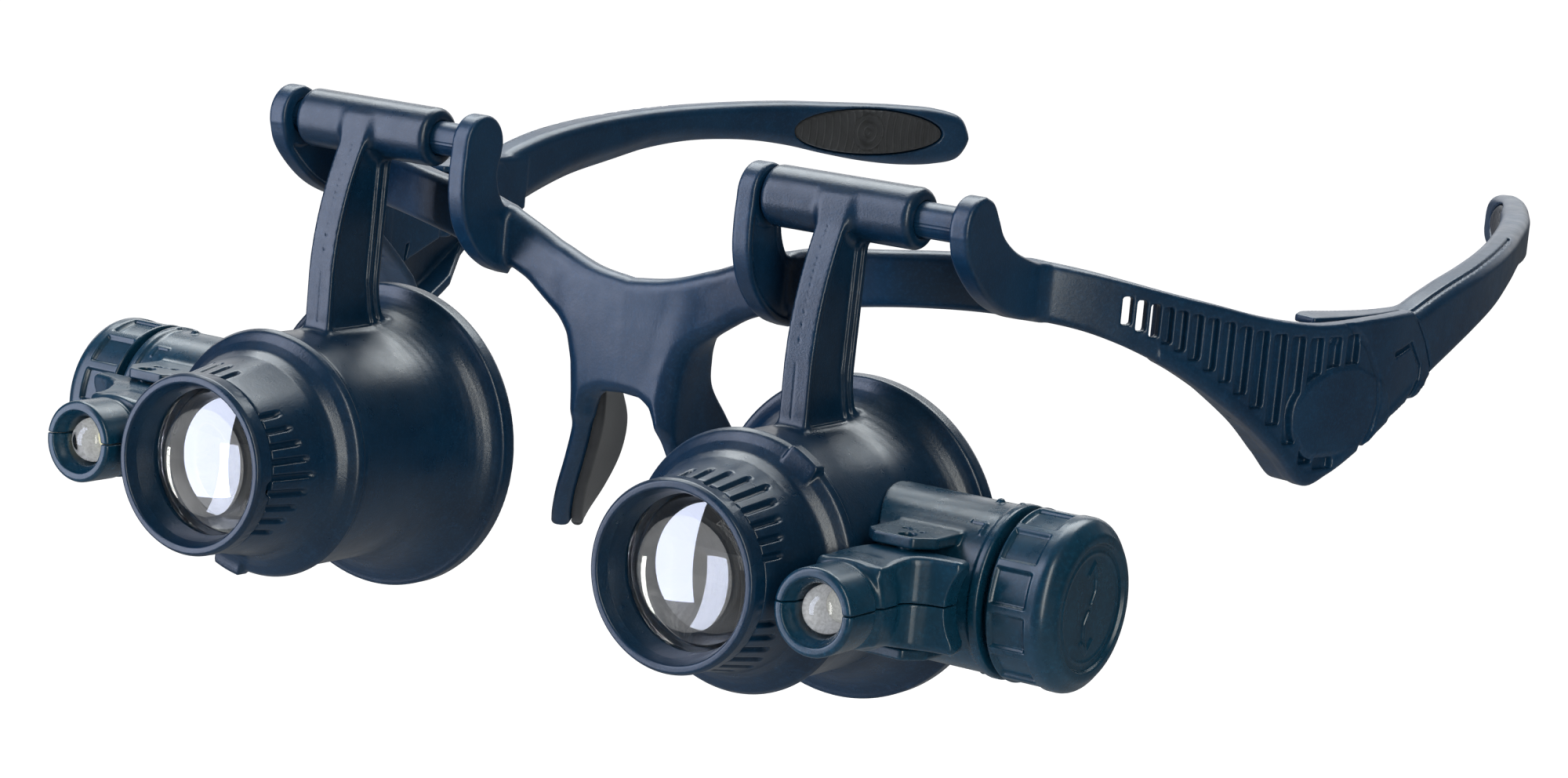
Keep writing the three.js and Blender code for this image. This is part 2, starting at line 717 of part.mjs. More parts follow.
function podBody() {
  const z = axisHeight - pod.drop;
  const nose = turned([
    [0, pod.front],
    [pod.ringRadius - 0.3, pod.front],
    [pod.ringRadius, pod.front + 0.4],
    [pod.ringRadius, -22.6],
    [pod.ringRadius - 0.4, -22],
    [pod.ringRadius - 0.1, -21.4],
    [pod.ringRadius - 0.1, -18.5],
    [0, -18.5],
  ], MEDIUM).translate(pod.x, 0, z);
  const saddle = (y, x0, x1, half) => {
    const edge = 1.1;
    return [
      [x0 + edge, y, axisHeight - half],
      [x1 - edge, y, axisHeight - half],
      [x1, y, axisHeight - half + edge],
      [x1, y, axisHeight + half - edge],
      [x1 - edge, y, axisHeight + half],
      [x0 + edge, y, axisHeight + half],
      [x0, y, axisHeight + half - edge],
      [x0, y, axisHeight - half + edge],
    ];
  };
  const body = loft([
    saddle(-20.6, 13.2, 20, 4),
    saddle(-18, 13.8, 20.6, 4.4),
    saddle(-16.2, 14.7, 22, pod.halfHeight),
    saddle(-14.4, 15.2, 25.4, pod.halfHeight),
    saddle(-12.8, 15.4, 26, pod.halfHeight),
  ]);
  const stub = turnedZ(discProfile(pod.stubRadius, axisHeight - 6, axisHeight + 6))
    .translate(pod.pivotX, pod.pivotY, 0);
  const lampBore = turned([
    [0, pod.front - 1],
    [3.5, pod.front - 1],
    [3.5, pod.front],
    [lamp.radius + 0.3, pod.front + 1.6],
    [lamp.radius + 0.3, lamp.flangeY],
    [lamp.flangeRadius + 0.3, lamp.flangeY],
    [lamp.flangeRadius + 0.3, lamp.flangeY + 1.6],
    [0, lamp.flangeY + 1.6],
  ], COARSE).translate(pod.x, 0, z);
  const leadWay = block(pod.x - 1.6, pod.pivotX + 0.6, -19, -11, z - 1, z + 1);
  return solid(nose).add(solid(body)).add(solid(stub)).subtract(solid(lampBore)).subtract(solid(leadWay));
}

function podShell(upper) {
  const half = upper
    ? block(5, 35, -35, 0, axisHeight - 12, axisHeight + pod.seam)
    : block(5, 35, -35, 0, axisHeight - pod.seam, axisHeight + 12);
  return podBody().subtract(solid(half));
}

function ledLamp() {
  const dome = [];
  for (let i = 0; i <= 3; i += 1) {
    const t = (i / 3) * (Math.PI / 2);
    dome.push([lamp.radius * Math.sin(t), lamp.front + lamp.radius * (1 - Math.cos(t))]);
  }
  const profile = [
    ...dome,
    [lamp.radius, lamp.flangeY + 0.2],
    [lamp.flangeRadius, lamp.flangeY + 0.2],
    [lamp.flangeRadius, lamp.flangeY + 1.2],
    [0, lamp.flangeY + 1.2],
  ];
  const z = axisHeight - pod.drop;
  let made = solid(turned(profile, COARSE).translate(pod.x, 0, z));
  for (const side of [-1.27, 1.27]) {
    const lead = block(pod.x + side - 0.25, pod.x + side + 0.25, lamp.flangeY + 1, -14.6, z - 0.25, z + 0.25);
    made = made.add(solid(lead));
  }
  return made;
}

// ---- interchangeable lens -------------------------------------------------------------------------

// lugAngle is where the bayonet lug stands, in degrees from the top towards the battery tube.
function lensHolder(lugAngle) {
  const profile = [
    [11.7, lensCell.back],
    [11.7, lensCell.rimBack],
    [13.6, lensCell.rimBack],
    [lensCell.rimRadius, -14.7],
    [13.5, -15.5],
    [12, -16.6],
    [11, -18.6],
    [lensCell.frontRadius, lensCell.front],
    [lensCell.pocket, lensCell.front],
    [lensCell.pocket, lensCell.seatY],
    [7.5, lensCell.seatY],
    [7.5, lensCell.seatY + 0.6],
    [9.5, lensCell.seatY + 1],
    [10.4, lensCell.back],
    [11.7, lensCell.back],
  ];
  let made = solid(turned(profile));
  const lug = solid(block(-2.2, 2.2, -15.9, -14.4, 12, 14.5).rotateY(THREE.MathUtils.degToRad(lugAngle)));
  made = made.add(lug);
  for (let g = 0; g < lensCell.groups; g += 1) {
    for (let i = 0; i < lensCell.grooves; i += 1) {
      const step = i - (lensCell.grooves - 1) / 2;
      const length = 5.2 - Math.abs(step) * 0.75;
      const turn = lensCell.firstGroup + g * (360 / lensCell.groups) + step * lensCell.groovePitch;
      const groove = block(-0.3, 0.3, -24.9, -24.9 + length, 9.95, 12)
        .rotateY(THREE.MathUtils.degToRad(turn));
      made = made.subtract(solid(groove));
    }
  }
  return made;
}

function lensRing() {
  const profile = [
    [8.45, -24],
    [8.45, -25.6],
    [10, -25.6],
    [10, -27.3],
    [9.7, -27.9],
    [9.1, -27.9],
    [7.9, -26],
    [7.6, -24],
    [8.45, -24],
  ];
  return solid(turned(profile, MEDIUM));
}

function lensGlass() {
  const arc = (vertex, edge) => {
    const sag = Math.abs(edge - vertex);
    const radius = (lens.radius ** 2 + sag ** 2) / (2 * sag);
    const toward = Math.sign(edge - vertex);
    return Array.from({ length: 4 }, (_, i) => {
      const r = (lens.radius * i) / 3;
      return [r, vertex + toward * (radius - Math.sqrt(radius ** 2 - r ** 2))];
    });
  };
  const profile = [...arc(lens.front, lens.edgeFront), ...arc(lens.back, lens.edgeBack).reverse()];
  return solid(turned(profile, MEDIUM));
}

// ---- assembly -------------------------------------------------------------------------------------

piece('front_frame', frontFrame(), materials.frame);

for (const side of ['left', 'right']) {
  const named = (name) => `${name}_${side}`;

  piece(named('nose_pad'), nosePad(), materials.rubber, drawing, side);
  piece(named('pivot_pin'), pivotPin(), materials.frame, drawing, side);
  piece(named('temple'), templeArm(), materials.frame, drawing, side);
  piece(named('temple_pad'), templePadSolid(templePad.thickness, 0), materials.rubber, drawing, side);
  piece(named('hinge_pin'), hingePin(), materials.steel, drawing, side);

  const loupe = new THREE.Group();
  loupe.position.x = rest[side];
  drawing.add(loupe);
  const fit = (name, made, material) => piece(named(name), made, material, loupe, side);
  fit('loupe_body', loupeBody(), materials.loupe);
  fit('battery_tube', batteryTube(), materials.holder);
  fit('battery_cap', batteryCap(), materials.holder);
  fit('contact_spring', contactSpring(), materials.steel);
  fit('contact_disc', contactDisc(), materials.brass);
  for (let i = 0; i < cell.count; i += 1) {
    fit(`button_cell_${i + 1}`, buttonCell(i), materials.steel);
  }
  fit('led_pod_upper', podShell(true), materials.holder);
  fit('led_pod_lower', podShell(false), materials.holder);
  fit('led_lamp', ledLamp(), materials.led);

  const optics = new THREE.Group();
  optics.position.z = axisHeight;
  loupe.add(optics);
  const lugAngle = side === 'left' ? 30 : 165;
  piece(named('lens_cell'), lensHolder(lugAngle), materials.loupe, optics, side);
  piece(named('lens_ring'), lensRing(), materials.loupe, optics, side);
  piece(named('lens'), lensGlass(), materials.lens, optics, side);
}

export default model;
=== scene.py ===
"""Looks of the eyewear magnifier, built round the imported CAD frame.

Shapes are worked out in millimetres about the axis of the pivot pins, and moved and scaled into the
frame when a piece is made. Moulded pieces are signed distance fields skinned through OpenVDB, and
turned pieces are profiles swept round an axis. A loupe is drawn once, with its battery tube towards
+X, and mirrored for the other side.
"""
import math

import bmesh
import bpy
import numpy as np
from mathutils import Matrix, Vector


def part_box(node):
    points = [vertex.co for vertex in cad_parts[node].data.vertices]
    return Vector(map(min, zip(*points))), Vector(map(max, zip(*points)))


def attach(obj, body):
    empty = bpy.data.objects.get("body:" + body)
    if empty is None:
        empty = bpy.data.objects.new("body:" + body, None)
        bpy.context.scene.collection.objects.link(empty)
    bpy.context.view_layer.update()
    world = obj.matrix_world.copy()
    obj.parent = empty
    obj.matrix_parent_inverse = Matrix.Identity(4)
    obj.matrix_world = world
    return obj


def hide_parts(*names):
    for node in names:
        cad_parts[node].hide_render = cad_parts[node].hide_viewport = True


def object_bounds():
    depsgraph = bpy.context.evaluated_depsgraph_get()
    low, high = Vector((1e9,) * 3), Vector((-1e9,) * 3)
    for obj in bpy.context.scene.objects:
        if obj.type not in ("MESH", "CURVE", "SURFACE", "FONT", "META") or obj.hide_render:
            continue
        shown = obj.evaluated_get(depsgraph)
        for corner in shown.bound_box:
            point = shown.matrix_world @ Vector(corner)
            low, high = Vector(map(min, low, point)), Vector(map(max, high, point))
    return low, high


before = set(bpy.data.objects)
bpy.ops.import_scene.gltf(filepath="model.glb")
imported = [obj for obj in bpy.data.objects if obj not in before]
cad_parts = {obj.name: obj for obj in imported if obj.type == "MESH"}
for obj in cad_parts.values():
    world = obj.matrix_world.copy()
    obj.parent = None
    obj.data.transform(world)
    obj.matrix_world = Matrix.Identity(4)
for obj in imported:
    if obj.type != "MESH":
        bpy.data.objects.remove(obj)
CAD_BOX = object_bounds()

import openvdb
from mathutils import Matrix, Vector

MM = 0.001
SIDES = {"left": 1, "right": -1}


# ---- places read from the frame ------------------------------------------------------------------

ORIGIN = np.mean(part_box("pivot_pin_left"), axis=0) / MM * (0, 1, 1)  # middle of the pin axis


def box_mm(node):
    low, high = np.array(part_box(node)) / MM - ORIGIN
    return low, high


def centre_mm(node):
    low, high = box_mm(node)
    return (low + high) / 2


LOUPE_X = {side: centre_mm(f"lens_{side}")[0] for side in SIDES}
AXIS_Z = centre_mm("lens_left")[2]
TUBE_Y = centre_mm("battery_cap_left")[1]
PIN_LOW, PIN_HIGH = box_mm("pivot_pin_left")
FLOOR_DROP = 0.45  # metres below the model, so that the tall lights reach below it too
FLOOR_Z = CAD_BOX[0][2] - FLOOR_DROP

# ---- dimensions ----------------------------------------------------------------------------------

EAR_WIDTH = 2.4
EAR_RADIUS = 3.35
EAR_INNER = 18.9
EAR_OUTER = 45.0
PIN_RADIUS = 1.9
SLEEVE_RADIUS = 3.3
SLEEVE_ENDS = (-9.55, 8.95)
ARM_HALF = 1.75
BARREL_RADIUS = 13.2
BARREL_FRONT = -14.0
BARREL_BACK = 8.0
FLARE_START = -2.2
BARREL_BORE = 11.9
RIM_RADIUS = 17.5
TUBE_RADIUS = 8.8
TUBE_LIP = 9.1
TUBE_LIP_END = 25.8
TUBE_NECK = 7.2
TUBE_NECK_END = 31.0
TUBE_BORE = 6.0
TUBE_BORE_END = 17.0
CELL_RADIUS = 5.8
CELL_START = 17.6
CELL_HEIGHT = 3.1
CELL_PITCH = 3.2
CAP_START = 26.8
CAP_END = 34.2
CAP_RADIUS = 9.1
LAMP_X = 16.6
LAMP_DROP = 0.4
LAMP_Z = AXIS_Z - LAMP_DROP
LAMP_FRONT = -27.4
POD_PIVOT = (18.8, -14.0)
HINGE = (60.8, 48.5)
HINGE_RADIUS = 1.9
HINGE_PIN_RADIUS = 0.8
HINGE_BORE = 0.88
ROOF = (-11.0, -10.1)
UPPER_LUG = (-12.7, -11.3)
KNUCKLE = (-17.2, -13.0)
LOWER_LUG = (-19.2, -17.5)

# Brow bar, right half seen from behind: x, y of the outer face, top, bottom, thickness.
BROW = np.array([
    (0, 3.2, -12.9, -17.4, 3.4), (5, 3.35, -12.2, -17.4, 3.4), (10, 3.8, -10.2, -16.8, 3.3),
    (14, 4.15, -8.5, -15.1, 3.2), (18, 4.45, -7.0, -13.6, 3.2), (22, 4.8, -5.9, -12.8, 3.2),
    (26, 5.3, -5.4, -11.8, 3.2), (31, 6.3, -4.9, -11.0, 3.2), (36, 8, -4.4, -10.5, 3.2),
    (41, 10.2, -4.1, -10.3, 3.2), (46, 13.2, -4.3, -10.6, 3.2), (50, 16.8, -5.0, -11.4, 3.1),
    (53.5, 20.8, -6.0, -13.0, 2.8), (56.6, 25.3, -7.1, -15.2, 2.5), (59.2, 29.9, -8.1, -18.0, 2.3),
    (61.5, 35.4, -9.3, -21.5, 2.1), (63.1, 40, -10.0, -25.0, 2.0), (64.3, 44.2, -10.4, -28.3, 2.0),
    (65.2, 48.3, -10.4, -27.4, 1.9), (66.1, 53.4, -10.2, -25.2, 1.9), (66.8, 59, -10.0, -22.4, 1.9),
    (66.93, 64.5, -9.9, -20.0, 1.9)], float)

# Temple arm: y, outer x, top, bottom, thickness.
TEMPLE = np.array([
    (65.2, 67, -9.9, -19.7, 4.2), (70, 67.1, -8.6, -17.7, 4.2), (75, 67.1, -7.5, -15.9, 4.2),
    (82, 66.7, -6.4, -13.8, 4.1), (90, 65.5, -5.4, -12.0, 3.9), (98, 63.7, -4.6, -10.1, 3.8),
    (105, 61.6, -4.1, -9.1, 3.7), (113, 59.0, -3.7, -9.0, 3.7), (120, 56.4, -3.5, -9.7, 3.7),
    (126, 53.8, -3.5, -10.8, 3.7), (132, 51.1, -3.5, -11.7, 3.6), (138, 48.1, -3.6, -12.1, 3.5),
    (142.5, 45.3, -3.9, -11.8, 3.4), (145.6, 43.1, -4.9, -10.9, 3.2), (147, 41.9, -6.6, -9.3, 2.9)],
    float)

# Nose leg: z, then the front and the back end of its section in plan.
LEG = np.array([
    (-14.5, 7.8, 6.2, 9, 6.9), (-17, 7.1, 6.0, 8.5, 7.2), (-20, 6.5, 5.9, 8.0, 7.8),
    (-23.5, 6.0, 5.7, 7.3, 9.3), (-27, 5.8, 5.7, 7.6, 12.1), (-30, 6.1, 6.0, 8.2, 14.1),
    (-34, 7.6, 7.2, 9.2, 14.9), (-38, 9.3, 8.4, 10.6, 14.3), (-41, 10.6, 9.8, 11.6, 12.8),
    (-42.4, 11.2, 10.7, 11.9, 12.0)], float)


# ---- signed distance fields ----------------------------------------------------------------------

def hypot(*parts):
    return np.sqrt(sum(part * part for part in parts))


def join(a, b, k=0.0):
    """Union of two fields, with a fillet of about k."""
    if k <= 0:
        return np.minimum(a, b)
    h = np.clip(0.5 + 0.5 * (b - a) / k, 0, 1)
    return b + (a - b) * h - k * h * (1 - h)


def cut(a, b, k=0.0):
    """a with b taken away, the new edge rounded by about k."""
    return -join(-a, b, k)


def both(field, *others):
    """Intersection of fields, with sharp edges."""
    for other in others:
        field = np.maximum(field, other)
    return field


def rounded_pair(a, b, edge):
    """Intersection of two perpendicular half-spaces' fields, with a true radius at the edge."""
    a = a + edge
    b = b + edge
    return np.minimum(np.maximum(a, b), 0) + hypot(np.maximum(a, 0), np.maximum(b, 0)) - edge


def rod(radial, along, low, high, radius, edge):
    """Cylinder from a radial distance and a coordinate along its axis."""
    return rounded_pair(radial - radius, np.abs(along - (low + high) / 2) - (high - low) / 2, edge)


def brick(x, y, z, centre, half, edge):
    q = [np.abs(v - c) - h + edge for v, c, h in zip((x, y, z), centre, half)]
    outside = hypot(*[np.maximum(part, 0) for part in q])
    return outside + np.minimum(both(*q), 0) - edge


def polyline_distance(u, v, points):
    best = np.full(u.shape, np.inf)
    for (ax, ay), (bx, by) in zip(points, points[1:]):
        ex, ey = bx - ax, by - ay
        size = ex * ex + ey * ey
        if size > 0:
            t = np.clip(((u - ax) * ex + (v - ay) * ey) / size, 0, 1)
            best = np.minimum(best, hypot(u - ax - t * ex, v - ay - t * ey))
    return best


def polygon_distance(u, v, points):
    """Signed distance to a closed polygon, negative inside."""
    inside = np.zeros(u.shape, bool)
    for (ax, ay), (bx, by) in zip(points, np.roll(points, -1, axis=0)):
        if ay != by:
            inside ^= ((ay > v) != (by > v)) & (u < (bx - ax) * (v - ay) / (by - ay) + ax)
    return np.where(inside, -1, 1) * polyline_distance(u, v, np.vstack([points, points[:1]]))


class Table:
    """Values on a plane grid, read back by linear interpolation."""

    def __init__(self, low, high, step, function):
        self.low = np.array(low, float)
        self.step = step
        self.count = np.ceil((np.array(high) - low) / step).astype(int) + 1
        u = self.low[0] + step * np.arange(self.count[0])
        v = self.low[1] + step * np.arange(self.count[1])
        self.values = [np.asarray(layer) for layer in function(*np.meshgrid(u, v, indexing="ij"))]

    def __call__(self, u, v):
        a = (u - self.low[0]) / self.step
        b = (v - self.low[1]) / self.step
        ca = np.clip(a, 0, self.count[0] - 1.001)
        cb = np.clip(b, 0, self.count[1] - 1.001)
        away = hypot(a - ca, b - cb) * self.step
        i, j = ca.astype(int), cb.astype(int)
        s, t = ca - i, cb - j
        found = []
        for layer in self.values:
            found.append((layer[i, j] * (1 - s) + layer[i + 1, j] * s) * (1 - t)
                         + (layer[i, j + 1] * (1 - s) + layer[i + 1, j + 1] * s) * t)
        return found, away


class Outline:
    """Signed distance to a closed outline in some plane."""

    def __init__(self, points, step=0.1, margin=4):
        points = np.array(points, float)
        self.table = Table(points.min(0) - margin, points.max(0) + margin, step,
                           lambda u, v: [polygon_distance(u, v, points)])

    def __call__(self, u, v):
        (found,), away = self.table(u, v)
        return found + away


def spline(rows, count):
    """Smooth curve through rows of numbers, evenly sampled (centripetal Catmull-Rom)."""
    rows = np.asarray(rows, float)
    ends = np.vstack([2 * rows[0] - rows[1], rows, 2 * rows[-1] - rows[-2]])
    steps = np.sqrt(np.maximum(np.linalg.norm(np.diff(ends[:, :2], axis=0), axis=1), 1e-6))
    knots = np.concatenate([[0], np.cumsum(steps)])
    out = []
    for t in np.linspace(knots[1], knots[-2] - 1e-9, count):
        k = int(np.searchsorted(knots, t, side="right")) - 1
        k = min(max(k, 1), len(rows) - 1)
        p = ends[k - 1:k + 3]
        n = knots[k - 1:k + 3]
        a = [((n[i + 1] - t) * p[i] + (t - n[i]) * p[i + 1]) / (n[i + 1] - n[i]) for i in range(3)]
        b = [((n[i + 2] - t) * a[i] + (t - n[i]) * a[i + 1]) / (n[i + 2] - n[i]) for i in range(2)]
        out.append(((n[2] - t) * b[0] + (t - n[1]) * b[1]) / (n[2] - n[1]))
    return np.array(out)


class Ribbon:
    """Upright strip along a plan curve whose rows are x, y, top, bottom, thickness.

    It gives, for any plan point, how far along the curve it is and how far outside it.
    """

    def __init__(self, rows, flip_start=False, margin=6, step=0.25):
        self.rows = spline(rows, 260)
        plan = self.rows[:, :2]
        if flip_start:
            plan = np.vstack([[-plan[1, 0], plan[1, 1]], plan])
        lengths = np.linalg.norm(np.diff(plan, axis=0), axis=1)
        along = np.concatenate([[0], np.cumsum(lengths)])
        if flip_start:
            along = along - lengths[0]
        self.s = along[-len(self.rows):]
        self.end = along[-1]

        def nearest(u, v):
            best = np.full(u.shape, np.inf)
            where = np.zeros(u.shape)
            side = np.zeros(u.shape)
            for i in range(len(plan) - 1):
                e = plan[i + 1] - plan[i]
                size = e @ e
                t = ((u - plan[i, 0]) * e[0] + (v - plan[i, 1]) * e[1]) / size
                first, last = i == 0 and not flip_start, i == len(plan) - 2
                t = np.clip(t, -np.inf if first else 0, np.inf if last else 1)
                dx, dy = u - plan[i, 0] - t * e[0], v - plan[i, 1] - t * e[1]
                d = dx * dx + dy * dy
                closer = d < best
                best = np.where(closer, d, best)
                where = np.where(closer, along[i] + t * math.sqrt(size), where)
                side = np.where(closer, np.sign(dx * e[1] - dy * e[0]), side)
            return [where, side * np.sqrt(best)]

        low, high = plan.min(0) - margin, plan.max(0) + margin
        self.table = Table(low, high, step, nearest)

    def read(self, x, y):
        (s, out), away = self.table(x, y)
        return s, out + away * np.sign(out)

    def value(self, s, column):
        return np.interp(s, self.s, self.rows[:, column])

    def slope(self, s, column):
        rise = np.gradient(self.rows[:, column], self.s)
        return 1 / np.sqrt(1 + np.interp(s, self.s, rise) ** 2)

    def measure(self, x, y, z):
        """Place along and outside the strip, its top, bottom and thickness, and its walls' fields."""
        s, out = self.read(x, y)
        top, bottom, thick = (self.value(s, column) for column in (2, 3, 4))
        across = np.abs(out + thick / 2) - thick / 2
        up = np.maximum((z - top) * self.slope(s, 2), (bottom - z) * self.slope(s, 3))
        return s, out, top, bottom, thick, across, up

    def field(self, x, y, z, edge):
        s, _, _, _, _, across, up = self.measure(x, y, z)
        return rounded_pair(rounded_pair(across, up, edge), np.maximum(s - self.end, -s), 0.3)


# ---- meshes --------------------------------------------------------------------------------------

BLOCK = 8  # voxels along one side of a block that is worked out at once


def skin(field, low, high, voxel):
    """Vertices and faces of a field's zero surface, in millimetres."""
    low = np.array(low, float)
    size = BLOCK * voxel
    counts = np.ceil((np.array(high) - low) / size).astype(int)
    blocks = np.stack(np.meshgrid(*[np.arange(n) for n in counts], indexing="ij"), -1).reshape(-1, 3)
    middle = low + (blocks + 0.5) * size
    reach = size * 0.9 * 1.5 + 3 * voxel
    blocks = blocks[np.abs(field(*middle.T)) < reach]
    offsets = np.stack(np.meshgrid(*[np.arange(BLOCK)] * 3, indexing="ij"), -1).reshape(-1, 3)
    grid = openvdb.FloatGrid(3 * voxel)
    for first in range(0, len(blocks), 2000):
        group = blocks[first:first + 2000]
        points = low + (group[:, None] * BLOCK + offsets[None]).reshape(-1, 3) * voxel
        values = field(*points.T).reshape(-1, BLOCK, BLOCK, BLOCK)
        for block, value in zip(group, values):
            if np.abs(value).min() < 3 * voxel:
                clipped = np.clip(value, -3 * voxel, 3 * voxel).astype(np.float32)
                grid.copyFromArray(clipped, tuple(int(v) * BLOCK for v in block))
    grid.gridClass = openvdb.GridClass.LEVEL_SET
    grid.signedFloodFill()
    points, triangles, quads = grid.convertToPolygons(isovalue=0.0, adaptivity=0.0)
    points = low + np.array(points, float) * voxel
    step = voxel * 0.25
    for _ in range(2):
        d = field(*points.T)
        slope = np.stack([field(*(points + step * axis).T) - field(*(points - step * axis).T)
                          for axis in np.eye(3)], -1) / (2 * step)
        size2 = np.maximum((slope ** 2).sum(1), 0.2)
        move = -(d / size2)[:, None] * slope
        points += np.clip(move, -voxel / 2, voxel / 2)
    return points, [tuple(q) for q in quads.tolist()] + [tuple(t) for t in triangles.tolist()]


def arc_corner(before, corner, after, radius, steps):
    """Points of a fillet at a profile's corner."""
    a = (before - corner) / np.linalg.norm(before - corner)
    b = (after - corner) / np.linalg.norm(after - corner)
    half = math.acos(max(-1, min(1, float(a @ b)))) / 2
    if half > math.pi / 2 - 0.02:
        return [corner]
    reach = min(radius / math.tan(half), 0.48 * np.linalg.norm(before - corner),
                0.48 * np.linalg.norm(after - corner))
    radius = reach * math.tan(half)
    centre = corner + (a + b) / np.linalg.norm(a + b) * radius / math.sin(half)
    p, q = corner + a * reach - centre, corner + b * reach - centre
    turn = math.acos(max(-1, min(1, float(p @ q) / radius ** 2)))
    return [centre + (p * math.sin((1 - t) * turn) + q * math.sin(t * turn)) / math.sin(turn)
            for t in np.linspace(0, 1, steps)]


def rounded_profile(points, radius=0.25, steps=4, closed=True, longest=0.8):
    """A profile with filleted corners, its long stretches split. A third number is a radius."""
    raw = [np.array(p[:2], float) for p in points]
    out = []
    for i, p in enumerate(raw):
        if not closed and i in (0, len(raw) - 1):
            out.append(p)
            continue
        r = points[i][2] if len(points[i]) > 2 else radius
        before, after = raw[i - 1], raw[(i + 1) % len(raw)]
        out.extend(arc_corner(before, p, after, r, steps) if r > 0 else [p])
    split = []
    pairs = zip(out, out[1:] + out[:1]) if closed else zip(out, out[1:])
    for p, q in pairs:
        parts = max(1, math.ceil(np.linalg.norm(q - p) / longest))
        split.extend(p + (q - p) * k / parts for k in range(parts))
    if not closed:
        split.append(out[-1])
    return np.array(split)


def revolve(profile, steps, axis="y", closed=True, shift=None):
    """Sweeps [radius, along] points round an axis. shift(radius, along, angle) moves points.

    The angle is 0 on the +Z side and grows towards +X for the Y axis, towards -Y for the X axis.
    """
    angle = np.arange(steps) * 2 * math.pi / steps
    r = np.repeat(profile[:, :1], steps, axis=1)
    h = np.repeat(profile[:, 1:2], steps, axis=1)
    turn = np.repeat(angle[None], len(profile), axis=0)
    if shift:
        r, h = shift(r, h, turn)
    if axis == "y":
        grid = np.stack([r * np.sin(turn), h, r * np.cos(turn)], -1)
    else:
        grid = np.stack([h, -r * np.sin(turn), r * np.cos(turn)], -1)
    n = len(profile)
    points = grid.reshape(-1, 3)
    rows = n if closed else n - 1
    faces = []
    for i in range(rows):
        a = i * steps
        b = ((i + 1) % n) * steps
        pole_a = not closed and i == 0 and profile[0, 0] == 0
        pole_b = not closed and i == n - 2 and profile[-1, 0] == 0
        for k in range(steps):
            m = (k + 1) % steps
            if pole_a:
                faces.append((a, b + k, b + m))
            elif pole_b:
                faces.append((a + k, b, a + m))
            else:
                faces.append((a + k, b + k, b + m, a + m))
    return points, faces


def turned(points, steps, axis="y", closed=False, shift=None, **rounding):
    """Solid of revolution from a profile whose corners are rounded."""
    return revolve(rounded_profile(points, closed=closed, **rounding), steps, axis, closed, shift)


def outward(points, faces):
    """Turns the faces round if they point inwards."""
    total = 0.0
    for face in faces[::max(1, len(faces) // 20000)]:
        p = points[list(face[:3])]
        total += float(np.dot(p[0], np.cross(p[1], p[2]))) * (2 if len(face) == 4 else 1)
    return faces if total > 0 else [face[::-1] for face in faces]


def drop_loose_points(mesh):
    """Deletes the vertices that no face uses."""
    shell = bmesh.new()
    shell.from_mesh(mesh)
    loose = [vertex for vertex in shell.verts if not vertex.link_faces]
    bmesh.ops.delete(shell, geom=loose, context="VERTS")
    shell.to_mesh(mesh)
    shell.free()


def make(name, shape, look, body, node=None):
    """Adds one piece from vertices and faces in millimetres, riding on a CAD body.

    The piece stands for a CAD node, if one is given, and takes its look's material.
    """
    points, faces = shape
    mesh = bpy.data.meshes.new(name)
    mesh.from_pydata(((points + ORIGIN) * MM).tolist(), [], outward(points, faces))
    mesh.validate()
    drop_loose_points(mesh)
    mesh.shade_smooth()
    mesh.materials.append(LOOKS[look])
    obj = bpy.data.objects.new(name, mesh)
    bpy.context.scene.collection.objects.link(obj)
    bpy.context.view_layer.update()
    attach(obj, body)
    if node:
        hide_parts(node)


def flipped(shape):
    points, faces = shape
    return points * np.array([-1, 1, 1]), [face[::-1] for face in faces]


def moved(shape, offset):
    return shape[0] + np.array(offset, float), shape[1]


# ---- materials -----------------------------------------------------------------------------------

